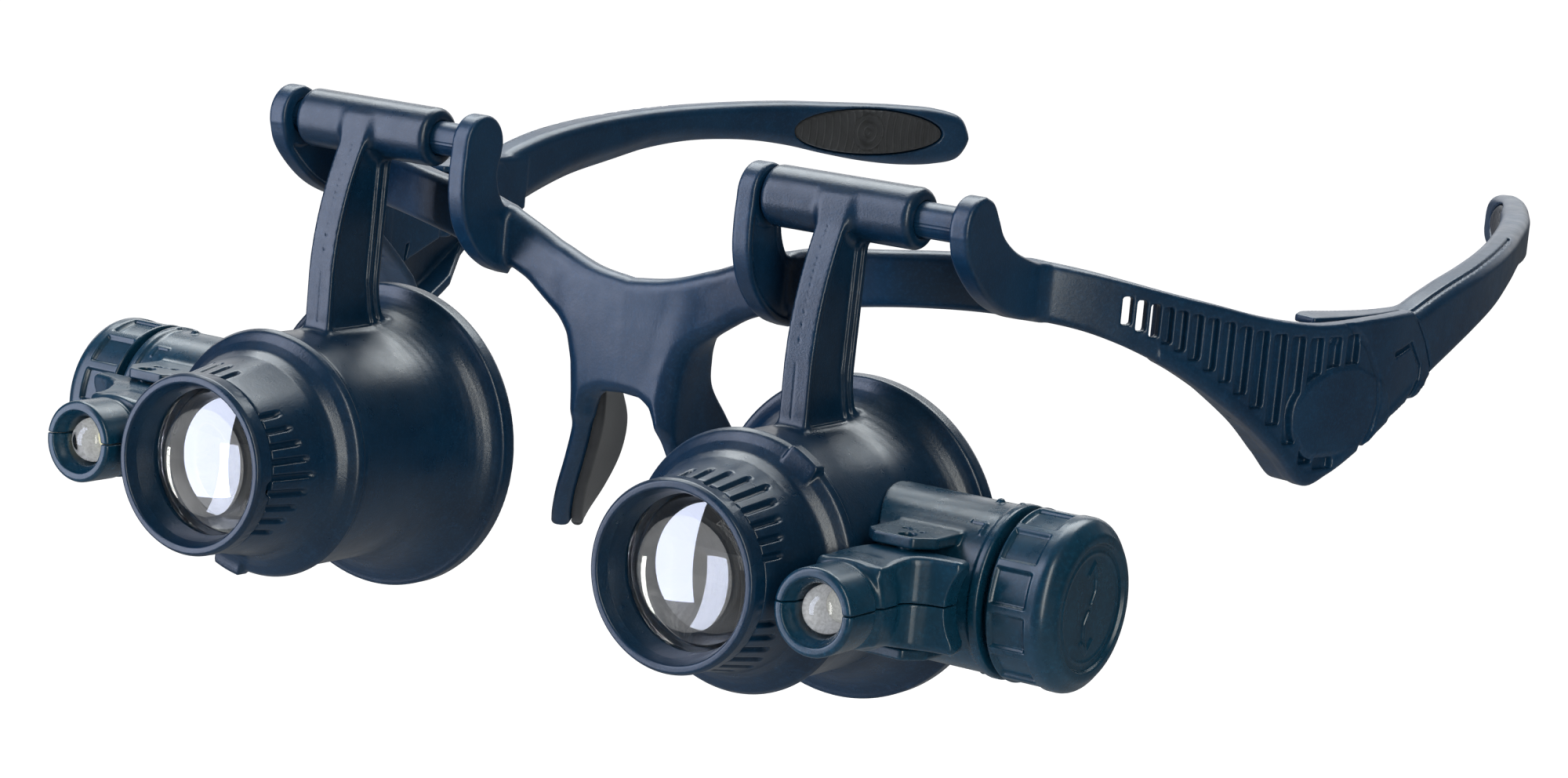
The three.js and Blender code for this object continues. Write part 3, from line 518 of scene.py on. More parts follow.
class Look:
    """A node material under construction."""

    def __init__(self, name):
        self.material = bpy.data.materials.new(name)
        self.material.use_nodes = True
        self.tree = self.material.node_tree
        self.shader = self.tree.nodes["Principled BSDF"]
        self.place = self.tree.nodes.new("ShaderNodeTexCoord").outputs["Object"]

    def node(self, kind, **settings):
        made = self.tree.nodes.new(kind)
        for key, value in settings.items():
            setattr(made, key, value)
        return made

    def feed(self, socket, value):
        """Links another node's output to a socket, or sets the socket's number or colour."""
        if hasattr(value, "is_linked"):
            self.tree.links.new(value, socket)
        else:
            socket.default_value = value

    def set(self, **values):
        """Feeds inputs of the shader, named with _ for a space."""
        for key, value in values.items():
            self.feed(self.shader.inputs[key.replace("_", " ")], value)

    def noise(self, size_mm, detail=2.0, rough=0.5, place=None):
        made = self.node("ShaderNodeTexNoise")
        made.inputs["Scale"].default_value = 1 / (size_mm * MM)
        made.inputs["Detail"].default_value = detail
        made.inputs["Roughness"].default_value = rough
        self.feed(made.inputs["Vector"], place or self.place)
        return made.outputs["Fac"]

    def ramp(self, source, stops):
        made = self.node("ShaderNodeValToRGB")
        while len(made.color_ramp.elements) < len(stops):
            made.color_ramp.elements.new(0.5)
        for element, (where, colour) in zip(made.color_ramp.elements, stops):
            element.position = where
            element.color = (*colour, 1)
        self.feed(made.inputs["Fac"], source)
        return made.outputs["Color"]

    def mix(self, factor, a, b):
        """Colour output a, turning into the plain colour b as the factor goes to 1."""
        made = self.node("ShaderNodeMix", data_type="RGBA")
        for number, value in ((0, factor), (6, a), (7, (*b, 1))):
            self.feed(made.inputs[number], value)
        return made.outputs[2]

    def scaled(self, source, low, high, start=0.0, end=1.0):
        made = self.node("ShaderNodeMapRange")
        for key, value in (("From Min", start), ("From Max", end), ("To Min", low), ("To Max", high),
                           ("Value", source)):
            self.feed(made.inputs[key], value)
        return made.outputs["Result"]

    def bump(self, *layers):
        """Layers are (height output, depth in mm)."""
        normal = None
        for height, depth in layers:
            made = self.node("ShaderNodeBump")
            made.inputs["Distance"].default_value = depth * MM
            self.feed(made.inputs["Height"], height)
            if normal:
                self.feed(made.inputs["Normal"], normal)
            normal = made.outputs["Normal"]
        self.set(Normal=normal)


def moulded(name, deep, pale, gloss, grain, grain_depth, wave_depth=0.03):
    """Injection-moulded plastic: cloudy colour, a fine spark-eroded grain and rubbed patches."""
    look = Look(name)
    cloud = look.noise(9, 4, 0.6)
    fine = look.noise(grain, 3, 0.6)
    colour = look.ramp(cloud, [(0.3, deep), (0.7, pale)])
    worn = tuple(2.2 * c + 0.004 for c in pale)
    colour = look.mix(look.scaled(fine, 0.0, 0.5, 0.5, 0.85), colour, worn)
    scuff = look.noise(1.3, 5, 0.7)
    colour = look.mix(look.scaled(scuff, 0.0, 0.35, 0.55, 0.8), colour, worn)
    haze = look.noise(2.4, 4, 0.65)
    look.set(Base_Color=colour, Roughness=look.scaled(haze, gloss - 0.04, gloss + 0.06, 0.3, 0.7),
             Specular_IOR_Level=0.5)
    wave = look.noise(6, 2, 0.5)
    look.bump((fine, grain_depth), (wave, wave_depth))
    return look.material


def rubber(name, colour):
    look = Look(name)
    fine = look.noise(0.22, 3, 0.7)
    dust = look.noise(3, 5, 0.7)
    pale = tuple(c * 1.5 + 0.012 for c in colour)
    look.set(Base_Color=look.ramp(dust, [(0.3, colour), (0.75, pale)]),
             Roughness=look.scaled(dust, 0.62, 0.8, 0.3, 0.7),
             Specular_IOR_Level=0.4, Sheen_Weight=0.15, Sheen_Roughness=0.5)
    look.bump((fine, 0.02))
    return look.material


def glass(name, tint, ior=1.5, haze=0.0, coat=0.0):
    look = Look(name)
    smear = look.noise(4, 3, 0.6)
    look.set(Base_Color=look.ramp(smear, [(0.2, tint), (0.9, (1, 1, 1))]),
             Roughness=look.scaled(smear, haze, haze + 0.02, 0.45, 0.75),
             Transmission_Weight=1.0, IOR=ior, Specular_IOR_Level=0.5, Coat_Weight=coat, Coat_IOR=2.3,
             Coat_Roughness=0.02)
    return look.material


def metal(name, colour, rough, streak=(1, 1, 14)):
    look = Look(name)
    stretch = look.node("ShaderNodeMapping")
    stretch.inputs["Scale"].default_value = streak
    look.feed(stretch.inputs["Vector"], look.place)
    brushed = look.noise(0.6, 4, 0.6, stretch.outputs["Vector"])
    dull = tuple(c * 0.72 for c in colour)
    look.set(Base_Color=look.ramp(brushed, [(0.35, dull), (0.65, colour)]),
             Roughness=look.scaled(brushed, rough - 0.05, rough + 0.1, 0.3, 0.7), Metallic=1.0)
    look.bump((brushed, 0.01))
    return look.material


# Chip and cup material: its own colour plus an emission that is painted glow. The LED is not lit, so the
# glow stands in for light reflected off the chip and its cup.
def painted_glow_chip(name, colour, painted_glow):
    look = Look(name)
    grain = look.noise(0.12, 2, 0.5)
    dark = tuple(c * 0.7 for c in colour)
    look.set(Base_Color=look.ramp(grain, [(0.35, dark), (0.65, colour)]), Roughness=0.6,
             Emission_Strength=painted_glow, Emission_Color=(*colour, 1))
    look.bump((grain, 0.02))
    return look.material


LOOKS = {
    "frame_plastic": moulded("frame_plastic", (0.0011, 0.0155, 0.041), (0.0023, 0.026, 0.063), 0.34,
                             0.3, 0.014),
    "loupe_plastic": moulded("loupe_plastic", (0.0008, 0.0115, 0.029), (0.0017, 0.019, 0.045), 0.3,
                             0.26, 0.018),
    "holder_plastic": moulded("holder_plastic", (0.0009, 0.0185, 0.037), (0.002, 0.031, 0.06), 0.28,
                              0.4, 0.0025, 0.006),
    "grey_rubber": rubber("grey_rubber", (0.014, 0.0155, 0.018)),
    "lens_glass": glass("lens_glass", (0.97, 0.98, 0.99), coat=0.8),
    "led_resin": glass("led_resin", (0.95, 0.96, 0.98), 1.53, 0.01),
    "steel": metal("steel", (0.56, 0.57, 0.58), 0.3),
    "cell_steel": metal("cell_steel", (0.62, 0.61, 0.58), 0.22, (1, 1, 1)),
    "brass": metal("brass", (0.62, 0.44, 0.16), 0.3),
    # The LED dies and the reflector cup carry painted glow, not light of their own: the right die glows
    # most, a painted bright yellowish die, the left die and the cup faintly.
    "led_die_left": painted_glow_chip("led_die", (0.6, 0.6, 0.56), 0.15),
    "led_die_right": painted_glow_chip("led_phosphor", (0.8, 0.76, 0.5), 0.7),
    "led_cup": painted_glow_chip("led_cup", (0.55, 0.56, 0.58), 0.2)}

# ---- outlines ------------------------------------------------------------------------------------

def bezier(*control, steps=14):
    t = np.linspace(0, 1, steps)[:, None]
    a, b, c, d = (np.array(p, float) for p in control)
    return list((1 - t) ** 3 * a + 3 * (1 - t) ** 2 * t * b + 3 * (1 - t) * t ** 2 * c + t ** 3 * d)


def arc(radius, start, end, steps=30, centre=(0, 0)):
    t = np.radians(np.linspace(start, end, steps))
    return list(np.stack([centre[0] + radius * np.cos(t), centre[1] + radius * np.sin(t)], -1))


INNER_EAR = Outline(np.vstack([
    spline([(6.2, -14.8), (3.2, -13.9), (0.2, -12.1), (-2.3, -9.3), (-3.5, -6.2), (-3.75, -3.1),
            (-3.55, 0)], 50),
    arc(EAR_RADIUS, 175, 5, centre=(-0.2, 0)),
    spline([(3.15, 0), (2.95, -1.2), (2.5, -3), (2.9, -4.8), (4, -6.5), (5.4, -7.2), (7, -7.5)], 40)]))
OUTER_EAR = Outline(np.vstack([
    spline([(14, -10.4), (9, -10), (3.7, -8.3), (0, -5.9), (-2.6, -3.2), (-3.5, -0.8)], 40),
    arc(EAR_RADIUS, 185, 90, centre=(-0.2, 0)),
    spline([(0.1, 3.33), (1.6, 2.7), (3.0, 0.9), (4.2, -0.8), (7, -2.6), (11, -3.9), (14, -4.5)], 40)]))
BRIDGE_SIDE = [
    (9.6, -12.2, 0), (13, -14, 1), (11.4, -15.8, 2), (9.4, -17.7, 2), (7.9, -19.7, 2), (6.8, -22.6, 2),
    (6.3, -26, 2), (6.1, -28.4, 1), (5.2, -28.4, 0.6), (4.7, -27.3, 1), (4, -26.2, 1), (2.4, -25.4, 1)]
BRIDGE = Outline(rounded_profile(
    [*BRIDGE_SIDE, (0, -25.2, 2), *[(-x, z, r) for x, z, r in BRIDGE_SIDE[::-1]], (0, -13.4, 0)], longest=2))


# ---- front frame ---------------------------------------------------------------------------------

BROW_LINE = Ribbon(BROW, flip_start=True)
OPEN_SLOTS = 3
SLOTS = np.arange(15)
SLOT_Y = 20.1 + 1.35 * SLOTS + 0.095 * np.maximum(SLOTS - OPEN_SLOTS, 0) ** 2
SLOT_S = np.interp(SLOT_Y, BROW_LINE.rows[:, 1], BROW_LINE.s)
SLOT_HALF = 0.36 * np.gradient(SLOT_S)
SLOT_DEPTH = 0.95
BOSS = Outline(rounded_profile([
    (41.6, -19.4, 3), (43.4, -17.2, 3), (46.8, -15.8, 3), (51.4, -15.5, 4), (56.6, -17.3, 4),
    (60.2, -20.6, 3), (55.4, -24.2, 2), (49.3, -25, 2), (44.4, -25, 2), (42, -22.6, 3)]))
SHELL_END = np.array([(-9.4, 62.6), (-11.8, 64.9), (-13.5, 66.7), (-16.4, 68.7), (-17.5, 69),
                      (-18.7, 67.9), (-20.1, 65.4), (-21.4, 62.3)])
CHEVRON = [(59.6, -14.6), (63.4, -13.7), (66.2, -16.5), (66.2, -17.9), (63.3, -20.6), (59.4, -22)]
CREASE = [(49.2, -10.5), (53.2, -13.2), (55.8, -16.6), (56.6, -20), (55.6, -22.8), (54, -24.6)]
HOUSING = Outline([(35, -11.3), (46.5, -11.3), (46.5, -19.2), (38, -22.4), (35, -20.3)])
RELIEF = Outline([(40.55, -19.25), (39.75, -19.6), (39.4, -23.4)], margin=8)


def shell_end(z):
    """How far back the end panel reaches at a height."""
    return np.interp(-z, -SHELL_END[:, 0], SHELL_END[:, 1])


def ear_field(outline, x, y, z, centre, facing):
    """Ear plate; facing is the side (+1 or -1 along X) that looks at the loupe and is recessed."""
    flat = outline(y, z)
    plate = rounded_pair(flat, np.abs(x - centre) - EAR_WIDTH / 2, 0.45)
    recess = np.maximum(flat + 0.75, EAR_WIDTH / 2 - 0.3 - facing * (x - centre))
    hub = np.maximum(hypot(y, z) - 3.0, 0)
    return cut(plate, both(recess, 0.6 - hub), 0.12)


def leg_field(x, y, z, rows, thickness, offset=0.0, top=-13.5):
    depth = -z
    front_x, front_y, back_x, back_y = (np.interp(depth, -rows[:, 0], rows[:, c]) for c in (1, 2, 3, 4))
    ex, ey = back_x - front_x, back_y - front_y
    size = hypot(ex, ey)
    ex, ey = ex / size, ey / size
    dx, dy = x - front_x + ey * offset, y - front_y - ex * offset
    along = dx * ex + dy * ey
    across = -dx * ey + dy * ex
    outside = np.maximum(np.maximum(-along, along - size), 0)
    blade = (hypot(outside, across) - thickness / 2) * 0.9
    ends = np.maximum(rows[-1, 0] - z - 0.4, z - top)
    return rounded_pair(blade, ends, 0.5)


LEG_SMOOTH = spline(LEG, 60)


def slot_field(y, z, s, out):
    """The row of upright slots in the end panel, as a field that is negative inside a slot."""
    number = np.searchsorted((SLOT_S[1:] + SLOT_S[:-1]) / 2, s)
    middle = SLOT_S[number]
    top = BROW_LINE.value(middle, 2) - 1.5
    bottom = BROW_LINE.value(middle, 3) + 2.3
    height = np.abs(z - (top + bottom) / 2)
    across = np.abs(s - middle) - SLOT_HALF[number]
    window = rounded_pair(across, height - (top - bottom) / 2, 0.35)
    depth = np.where(number < OPEN_SLOTS, 6.0, SLOT_DEPTH)
    slots = both(window, -out - depth, 0.5 - BOSS(y, z))
    # behind the open slots the wall is thinner
    return join(slots, both(np.abs(s - SLOT_S[1]) - 2.6, height - 2.3, out + 1.1))


def frame_field(x, y, z):
    x = np.abs(x)
    s, out, top, bottom, _, across, up = BROW_LINE.measure(x, y, z)
    edge = np.interp(s, [14, 24, 50, 58], [1.55, 1.15, 0.9, 0.55])
    crown = np.clip(1 - ((z - (top + bottom) / 2) / 4) ** 2, 0, 1)
    crown = np.maximum(crown, np.interp(s, [10, 24], [1, 0]))
    across = across + 0.25 * (1 - crown) * np.interp(s, [40, 60], [1, 0])
    sheet = join(up, BRIDGE(x, z), 3.0)
    bar = rounded_pair(across, np.where(x < 20, sheet, up), edge)
    skirt_depth = np.interp(s, [64, 80, 92, 98, 106], [2.2, 5.0, 5.0, 3.0, 1.9])
    skirt = rounded_pair(np.abs(out + skirt_depth / 2) - skirt_depth / 2,
                         both(up, (z - bottom - 1.5) * BROW_LINE.slope(s, 3)), 0.4)
    bar = join(bar, both(skirt, 62 - s), 0.5)
    made = join(bar, leg_field(x, y, z, LEG_SMOOTH, 2.1), 2.4)
    made = join(made, ear_field(INNER_EAR, x, y, z, EAR_INNER, 1), 1.0)
    made = join(made, ear_field(OUTER_EAR, x, y, z, EAR_OUTER, -1), 1.0)
    made = join(made, both(BOSS(y, z), np.abs(out + 0.1) - 0.2, 50 - x), 0.2)
    made = cut(made, slot_field(y, z, s, out), 0.14)
    groove = both(polyline_distance(y, z, CHEVRON) - 0.3, -out - 0.5, 58 - x)
    made = cut(made, groove, 0.1)
    crease = both(polyline_distance(y, z, CREASE) - 0.3, -out - 0.12, 55 - x)
    made = cut(made, crease, 0.35)
    for low, high, z_low, z_high in ((45.4, 48.8, -26.7, -25.4), (53.4, 54.6, -25.9, -24.4)):
        notch = brick(x, y, z, (66, (low + high) / 2, (z_low + z_high) / 2),
                      (2.2, (high - low) / 2, (z_high - z_low) / 2), 0.3)
        made = cut(made, both(notch, -out - 0.8), 0.1)
    made = both(made, (y - shell_end(z)) * 0.85)
    radial = hypot(x - HINGE[0], y - HINGE[1])
    for low, high in (UPPER_LUG, LOWER_LUG):
        eye = rod(radial, z, low, high, HINGE_RADIUS, 0.2)
        web = brick(x, y, z, (62.6, HINGE[1], (low + high) / 2), (1.8, 1.6, (high - low) / 2), 0.2)
        made = join(made, join(eye, web, 0.4), 0.4)
    wall = rounded_pair(HOUSING(y, z), np.abs(x - 59.1) - 0.5, 0.25)
    web = brick(x, y, z, (59.5, 35.8, -16.2), (0.9, 0.75, 4.7), 0.2)
    made = join(made, cut(join(wall, web, 0.3), RELIEF(y, z), 0.08), 0.3)
    made = cut(made, both(radial - HINGE_BORE, np.abs(z + 15) - 6))
    socket = both(hypot(y, z) - PIN_RADIUS - 0.06,
                  np.abs(x - (EAR_INNER + EAR_OUTER) / 2) - (EAR_OUTER - EAR_INNER) / 2 - 0.4)
    return cut(made, socket, 0.1)


def nose_pad_field(x, y, z):
    rows = LEG_SMOOTH[LEG_SMOOTH[:, 0] < -24.5] + np.array([-0.2, 0.3, 0.9, 0, 0])
    return leg_field(x, y, z, rows, 1.3, 1.66, -25.6)


# ---- temple --------------------------------------------------------------------------------------

def swapped(rows):
    return [(x, y, *others) for y, x, *others in rows]


def level_ribbon(band, *rows):
    """Ribbon of even height between two levels. Its rows are x, y, thickness."""
    low, high = band
    return Ribbon([(x, y, high, low, thick) for x, y, thick in rows])


ARM_LINE = Ribbon(swapped([(62, 66.95, -10.6, -21, 4.2), *TEMPLE.tolist()]))
TONGUE_LINE = level_ribbon(KNUCKLE, (62.4, 48.5, 2.4), (62.9, 52.6, 1.9), (63.9, 57.4, 1.4))
ROOF_LINE = level_ribbon(ROOF, (62.3, 46.6, 3), (63, 48.9, 4.3), (64.1, 53.4, 3.7), (64.7, 59, 2.6),
                         (64.7, 66.6, 1.7))
CHEEK_LINE = Ribbon([(61.6, 51, -10.4, -19.2, 1.2), (63.2, 56, -10.4, -19.3, 1.5),
                     (64.3, 61, -10.4, -19.4, 1.7), (64.4, 66.2, -10.4, -18.6, 1.6),
                     (64.4, 70, -10.4, -17.2, 1.6)])
PAD_Y = 131.8
PAD_S = float(np.interp(PAD_Y, ARM_LINE.rows[:, 1], ARM_LINE.s))
PAD_Z = -7.4
PAD_HALF = (12.6, 3.1)
PAD_DEPTH = 1.0


def pad_oval(s, z, grow=0.0):
    """Signed distance to the pad's outline on the inner face of the temple."""
    a, b = PAD_HALF[0] + grow, PAD_HALF[1] + grow
    u, v = (s - PAD_S) / a, (z - PAD_Z) / b
    q = np.maximum(hypot(u, v), 1e-6)
    return (q - 1) * q / np.maximum(hypot(u / a, v / b), 1e-6)


def temple_field(x, y, z):
    s, out, top, bottom, thick, across, up = ARM_LINE.measure(x, y, z)
    made = rounded_pair(rounded_pair(across, up, 1.3), s - ARM_LINE.end, 1.4)
    bevel = np.interp(y, [60, 95, 108], [2.6, 2.2, 0.9])
    made = cut(made, (out + thick + z - bottom - bevel) * 0.7, 0.6)
    made = both(made, (shell_end(z) + 0.25 - y) * 0.85)
    made = cut(made, both(np.abs(out + 1.1) - 0.17, top - z - 0.4, y - 100), 0.1)
    made = cut(made, both(pad_oval(s, z, 0.25), out + thick - PAD_DEPTH - 0.3), 0.12)
    tongue = TONGUE_LINE.field(x, y, z, 0.4)
    roof = ROOF_LINE.field(x, y, z, 0.3)
    cheek = CHEEK_LINE.field(x, y, z, 0.3)
    radial = hypot(x - HINGE[0], y - HINGE[1])
    knuckle = rod(radial, z, *KNUCKLE, HINGE_RADIUS, 0.2)
    hinged = cut(join(tongue, knuckle, 0.3), radial - HINGE_BORE)
    return join(made, join(join(hinged, cheek, 0.4), roof, 0.3), 0.4)


def temple_pad_field(x, y, z):
    """Rubber pad with a moulded ripple: rings in the middle, bows towards its ends."""
    s, out = ARM_LINE.read(x, y)
    thick = ARM_LINE.value(s, 4)
    u, v = s - PAD_S, z - PAD_Z
    ring = hypot(u, v)
    bow = np.abs(u) - 0.05 * v ** 2
    height = np.where(ring < 2.7, 0.16 * np.cos(ring * 2 * math.pi / 1.1),
                      0.16 * np.cos((bow - 2.7) * 2 * math.pi / 1.3))
    height = height * np.clip(-pad_oval(s, z) / 0.5, 0, 1)
    depth = out + thick
    return rounded_pair(pad_oval(s, z), np.maximum(-depth - height + 0.14, depth - PAD_DEPTH), 0.2)


# ---- loupe body ----------------------------------------------------------------------------------

def barrel_points(grow=0.0, bored=True):
    """Profile of the eyecup barrel, radius and y, or of the space that it fills."""
    flare = [(BARREL_RADIUS + 4.6 * (1 - math.cos(t)) + grow, FLARE_START + 8 * math.sin(t) - grow, 0)
             for t in np.linspace(0.12, 1.35, 9)]
    outside = [(BARREL_RADIUS + grow, BARREL_FRONT - grow, 0.7), (BARREL_RADIUS + grow, FLARE_START, 0),
               *flare, (RIM_RADIUS + grow, 5.7 - grow, 0.5), (RIM_RADIUS + grow, BARREL_BACK + grow, 0.6)]
    if not bored:
        return [(-2, BARREL_FRONT - grow, 0), *outside, (-2, BARREL_BACK + grow, 0)]
    inside = [(16.2, BARREL_BACK, 0.5), (14.4, 5.6, 2), (12.6, 2.2, 2), (BARREL_BORE, -1.4, 2),
              (BARREL_BORE, BARREL_FRONT, 0.3)]
    return outside + inside


BARREL = Outline(rounded_profile(barrel_points()))
BARREL_SPACE = Outline(rounded_profile(barrel_points(0.22, bored=False)))
ARM = Outline(bezier((-2.6, 1), (-5, -3.5), (-7.4, -9), (-7.7, -16)) + [(-7.7, -23.4), (3.2, -23.4)]
              + bezier((3.2, -23.4), (1.9, -21.4), (1, -19.6), (1, -17)) + [(1.6, 0)])
ARM_REAR = [(1.6, 2), (1, -17), (1.7, -20.2), (3.2, -23.4)]


def loupe_field(x, y, z):
    flat = ARM(y, z)
    rear = polyline_distance(y, z, ARM_REAR)
    arm = rounded_pair(flat, np.abs(x) - ARM_HALF, 0.3)
    bead = both(1.5 - rear, rear - 2.1, ARM_HALF - 1 - np.abs(x))
    arm = cut(arm, both(flat + 0.75, ARM_HALF - 0.4 - np.abs(x), -bead), 0.2)
    parting = both(np.abs(x + 0.15) - 0.06, -0.06 - flat)
    arm = cut(arm, parting, 0.05)
    sleeve = rod(hypot(y, z), x, *SLEEVE_ENDS, SLEEVE_RADIUS, 0.85)
    radial = hypot(x, z - AXIS_Z)
    body = join(join(arm, sleeve, 1.3), BARREL(radial, y), 1.3)
    body = cut(body, both(radial - BARREL_BORE, np.abs(y + 9) - 7.6))
    return cut(body, hypot(y, z) - PIN_RADIUS - 0.06, 0.15)


# ---- battery tube, cap and what they hold --------------------------------------------------------

TUBE = Outline(rounded_profile([
    (-2, 9, 0), (TUBE_RADIUS, 9, 0), (TUBE_RADIUS, 24.6, 0.3), (TUBE_LIP, 24.8, 0.2),
    (TUBE_LIP, TUBE_LIP_END, 0.3), (TUBE_NECK, TUBE_LIP_END, 0.2), (TUBE_NECK, TUBE_NECK_END, 0.3),
    (TUBE_BORE, TUBE_NECK_END, 0.3), (TUBE_BORE, TUBE_BORE_END, 0.3), (-2, TUBE_BORE_END, 0)]))
PLATE = Outline(rounded_profile([
    (14.2, -5), (14.2, -13.9), (15.6, -15.4), (20.2, -15.4), (21.9, -13.2), (21.9, -5)], radius=0.5))
DIMPLES = [(17.0, -11.4), (19.2, -11.9)]


def tube_field(x, y, z):
    radial = hypot(y - TUBE_Y, z - AXIS_Z)
    made = TUBE(radial, x)
    height = np.abs(z - AXIS_Z)
    plate = rounded_pair(PLATE(x, y), np.abs(height - 5.7) - 0.6, 0.22)
    mark = polyline_distance(x, y, DIMPLES) - 0.26
    dimple = np.minimum(*[hypot(x - u, y - v) for u, v in DIMPLES]) - 0.42
    plate = cut(plate, both(mark, 6.15 - height), 0.08)
    plate = cut(plate, both(dimple, 5.95 - height), 0.08)
    made = join(made, plate, 0.5)
    for sign in (1, -1):
        for place in (24.9, 22.4):
            nub = hypot(x - place, (y - TUBE_Y) * 0.9, z - AXIS_Z - sign * TUBE_RADIUS) - 0.45
            made = join(made, nub, 0.2)
    angle = np.degrees(np.arctan2(-(y - TUBE_Y), z - AXIS_Z))
    tick = join(both(np.abs(x - 22.9) - 0.9, np.abs(angle - 33) * 0.15 - 0.16),
                both(np.abs(x - 23.7) - 0.16, np.abs(angle - 38) * 0.15 - 0.8))
    made = join(made, both(np.abs(radial - TUBE_RADIUS) - 0.14, tick), 0.12)
    made = cut(made, hypot(x - POD_PIVOT[0], y - POD_PIVOT[1]) - 0.98)
    lead_hole = both(hypot(x - POD_PIVOT[0], z - AXIS_Z) - 1, np.abs(y + 8.5) - 3.5)
    made = cut(made, lead_hole, 0.1)
    made = cut(made, both(radial - TUBE_BORE, TUBE_BORE_END - x))
    return cut(made, BARREL_SPACE(hypot(x, z - AXIS_Z), y), 0.12)


def in_tube(shape):
    return moved(shape, (0, TUBE_Y, AXIS_Z))


CAP_PANELS = 12
CAP_PANEL_END = 31.3
ARROW_BEND = np.array([(0.2, 0.4), (0.9, 1.6), (0.8, 3), (0.1, 4.6)])
ARROW_BARBS = np.array([(1.2, 3.6), (0.1, 4.6), (-0.9, 3.5)])


def smooth(value, low, high):
    t = np.clip((value - low) / (high - low), 0, 1)
    return t * t * (3 - 2 * t)


def cap_relief(r, h, turn):
    """Finger panels round the cap, and two curved arrows on its end."""
    phase = np.abs(((turn * CAP_PANELS / (2 * math.pi)) % 1) - 0.5) * 2
    panel = (1 - smooth(phase, 0.72, 0.84)) * smooth(h, CAP_START + 0.3, CAP_START + 0.5)
    panel = panel * (1 - smooth(h, CAP_PANEL_END - 0.3, CAP_PANEL_END)) * smooth(r, 8.2, 8.7)
    # panels are flat, so they are deeper in the middle than a round band would be
    r = r - panel * (0.42 + 0.1 * (1 - phase ** 2))
    y, z = -r * np.sin(turn), r * np.cos(turn)
    face = smooth(h, CAP_END - 0.6, CAP_END - 0.5) * (1 - smooth(r, 6.1, 6.3))
    ridge = np.full(r.shape, np.inf)
    for line in (ARROW_BEND, ARROW_BARBS, -ARROW_BEND, -ARROW_BARBS):
        ridge = np.minimum(ridge, polyline_distance(y, z, line))
    h = h + face * 0.2 * (1 - smooth(ridge, 0.12, 0.3))
    ring = np.abs(r - 5.7)
    return r, h + face * 0.1 * (1 - smooth(ring, 0.08, 0.22))


def cap_shape():
    face = CAP_END - 0.4
    inner = CAP_END - 1.8
    profile = rounded_profile([
        (TUBE_NECK + 0.3, CAP_START, 0.2), (CAP_RADIUS, CAP_START, 0.35), (CAP_RADIUS, CAP_END - 1.3, 1.6),
        (CAP_RADIUS - 1.6, CAP_END, 1.2), (CAP_RADIUS - 2.4, CAP_END, 0.2), (CAP_RADIUS - 2.65, face, 0.15),
        (0.02, face, 0), (0.02, inner, 0), (7.5, inner, 0.3), (7.5, CAP_START + 0.4, 0.2)],
        steps=6, longest=0.16)
    return in_tube(revolve(profile, 432, "x", shift=cap_relief))


def rod_shape(radius, low, high, edge, steps, longest, shift=None):
    """Solid round bar along X."""
    return turned([(0, low), (radius, low, edge), (radius, high, edge), (0, high)], steps, "x",
                  shift=shift, longest=longest)


def cell_shape(number):
    low = CELL_START + CELL_PITCH * number
    high = low + CELL_HEIGHT
    return in_tube(turned([(0, low), (4.6, low, 0.2), (4.75, low + 0.35, 0.1), (5.5, low + 0.4, 0.15),
                           (CELL_RADIUS, low + 0.7, 0.3), (CELL_RADIUS, high, 0.35), (0, high)],
                          96, "x", longest=0.7))


def spring_shape():
    """Conical spring between the inside of the cap and the last cell."""
    turns, wire, ring = 3, 0.3, 12
    low, high = 27.9, 32.2
    steps = turns * 40
    t = np.linspace(0, 1, steps)[:, None]
    angle = t * turns * 2 * math.pi
    radius = 4.6 - 2.4 * t
    path = np.hstack([high - wire - (high - low - 2 * wire) * t, TUBE_Y + radius * np.cos(angle),
                      AXIS_Z + radius * np.sin(angle)])
    ahead = np.gradient(path, axis=0)
    ahead /= np.linalg.norm(ahead, axis=1)[:, None]
    side = np.cross(ahead, (1, 0, 0))
    side /= np.linalg.norm(side, axis=1)[:, None]
    up = np.cross(side, ahead)
    points, faces = [], []
    for a in np.arange(ring) * 2 * math.pi / ring:
        points.append(path + wire * (math.cos(a) * side + math.sin(a) * up))
    points = np.stack(points, 1).reshape(-1, 3)
    for i in range(steps - 1):
        for k in range(ring):
            m = (k + 1) % ring
            faces.append((i * ring + k, i * ring + m, (i + 1) * ring + m, (i + 1) * ring + k))
    faces.append(tuple(range(ring))[::-1])
    faces.append(tuple((steps - 1) * ring + k for k in range(ring)))
    return points, faces


# ---- lamp pod ------------------------------------------------------------------------------------

POD_PLAN = Outline(rounded_profile([
    (12.7, -21.4, 0.5), (20.5, -21.4, 0.5), (20.6, -18.6, 2), (21.3, -16.7, 2), (23, -15.7, 2),
    (25.6, -15.2, 0.5), (26, -14.6, 0.3), (25.6, -12.8, 0.2), (15.4, -12.8, 0.4), (15.0, -15.2, 1.5),
    (13.4, -18.4, 2)]))


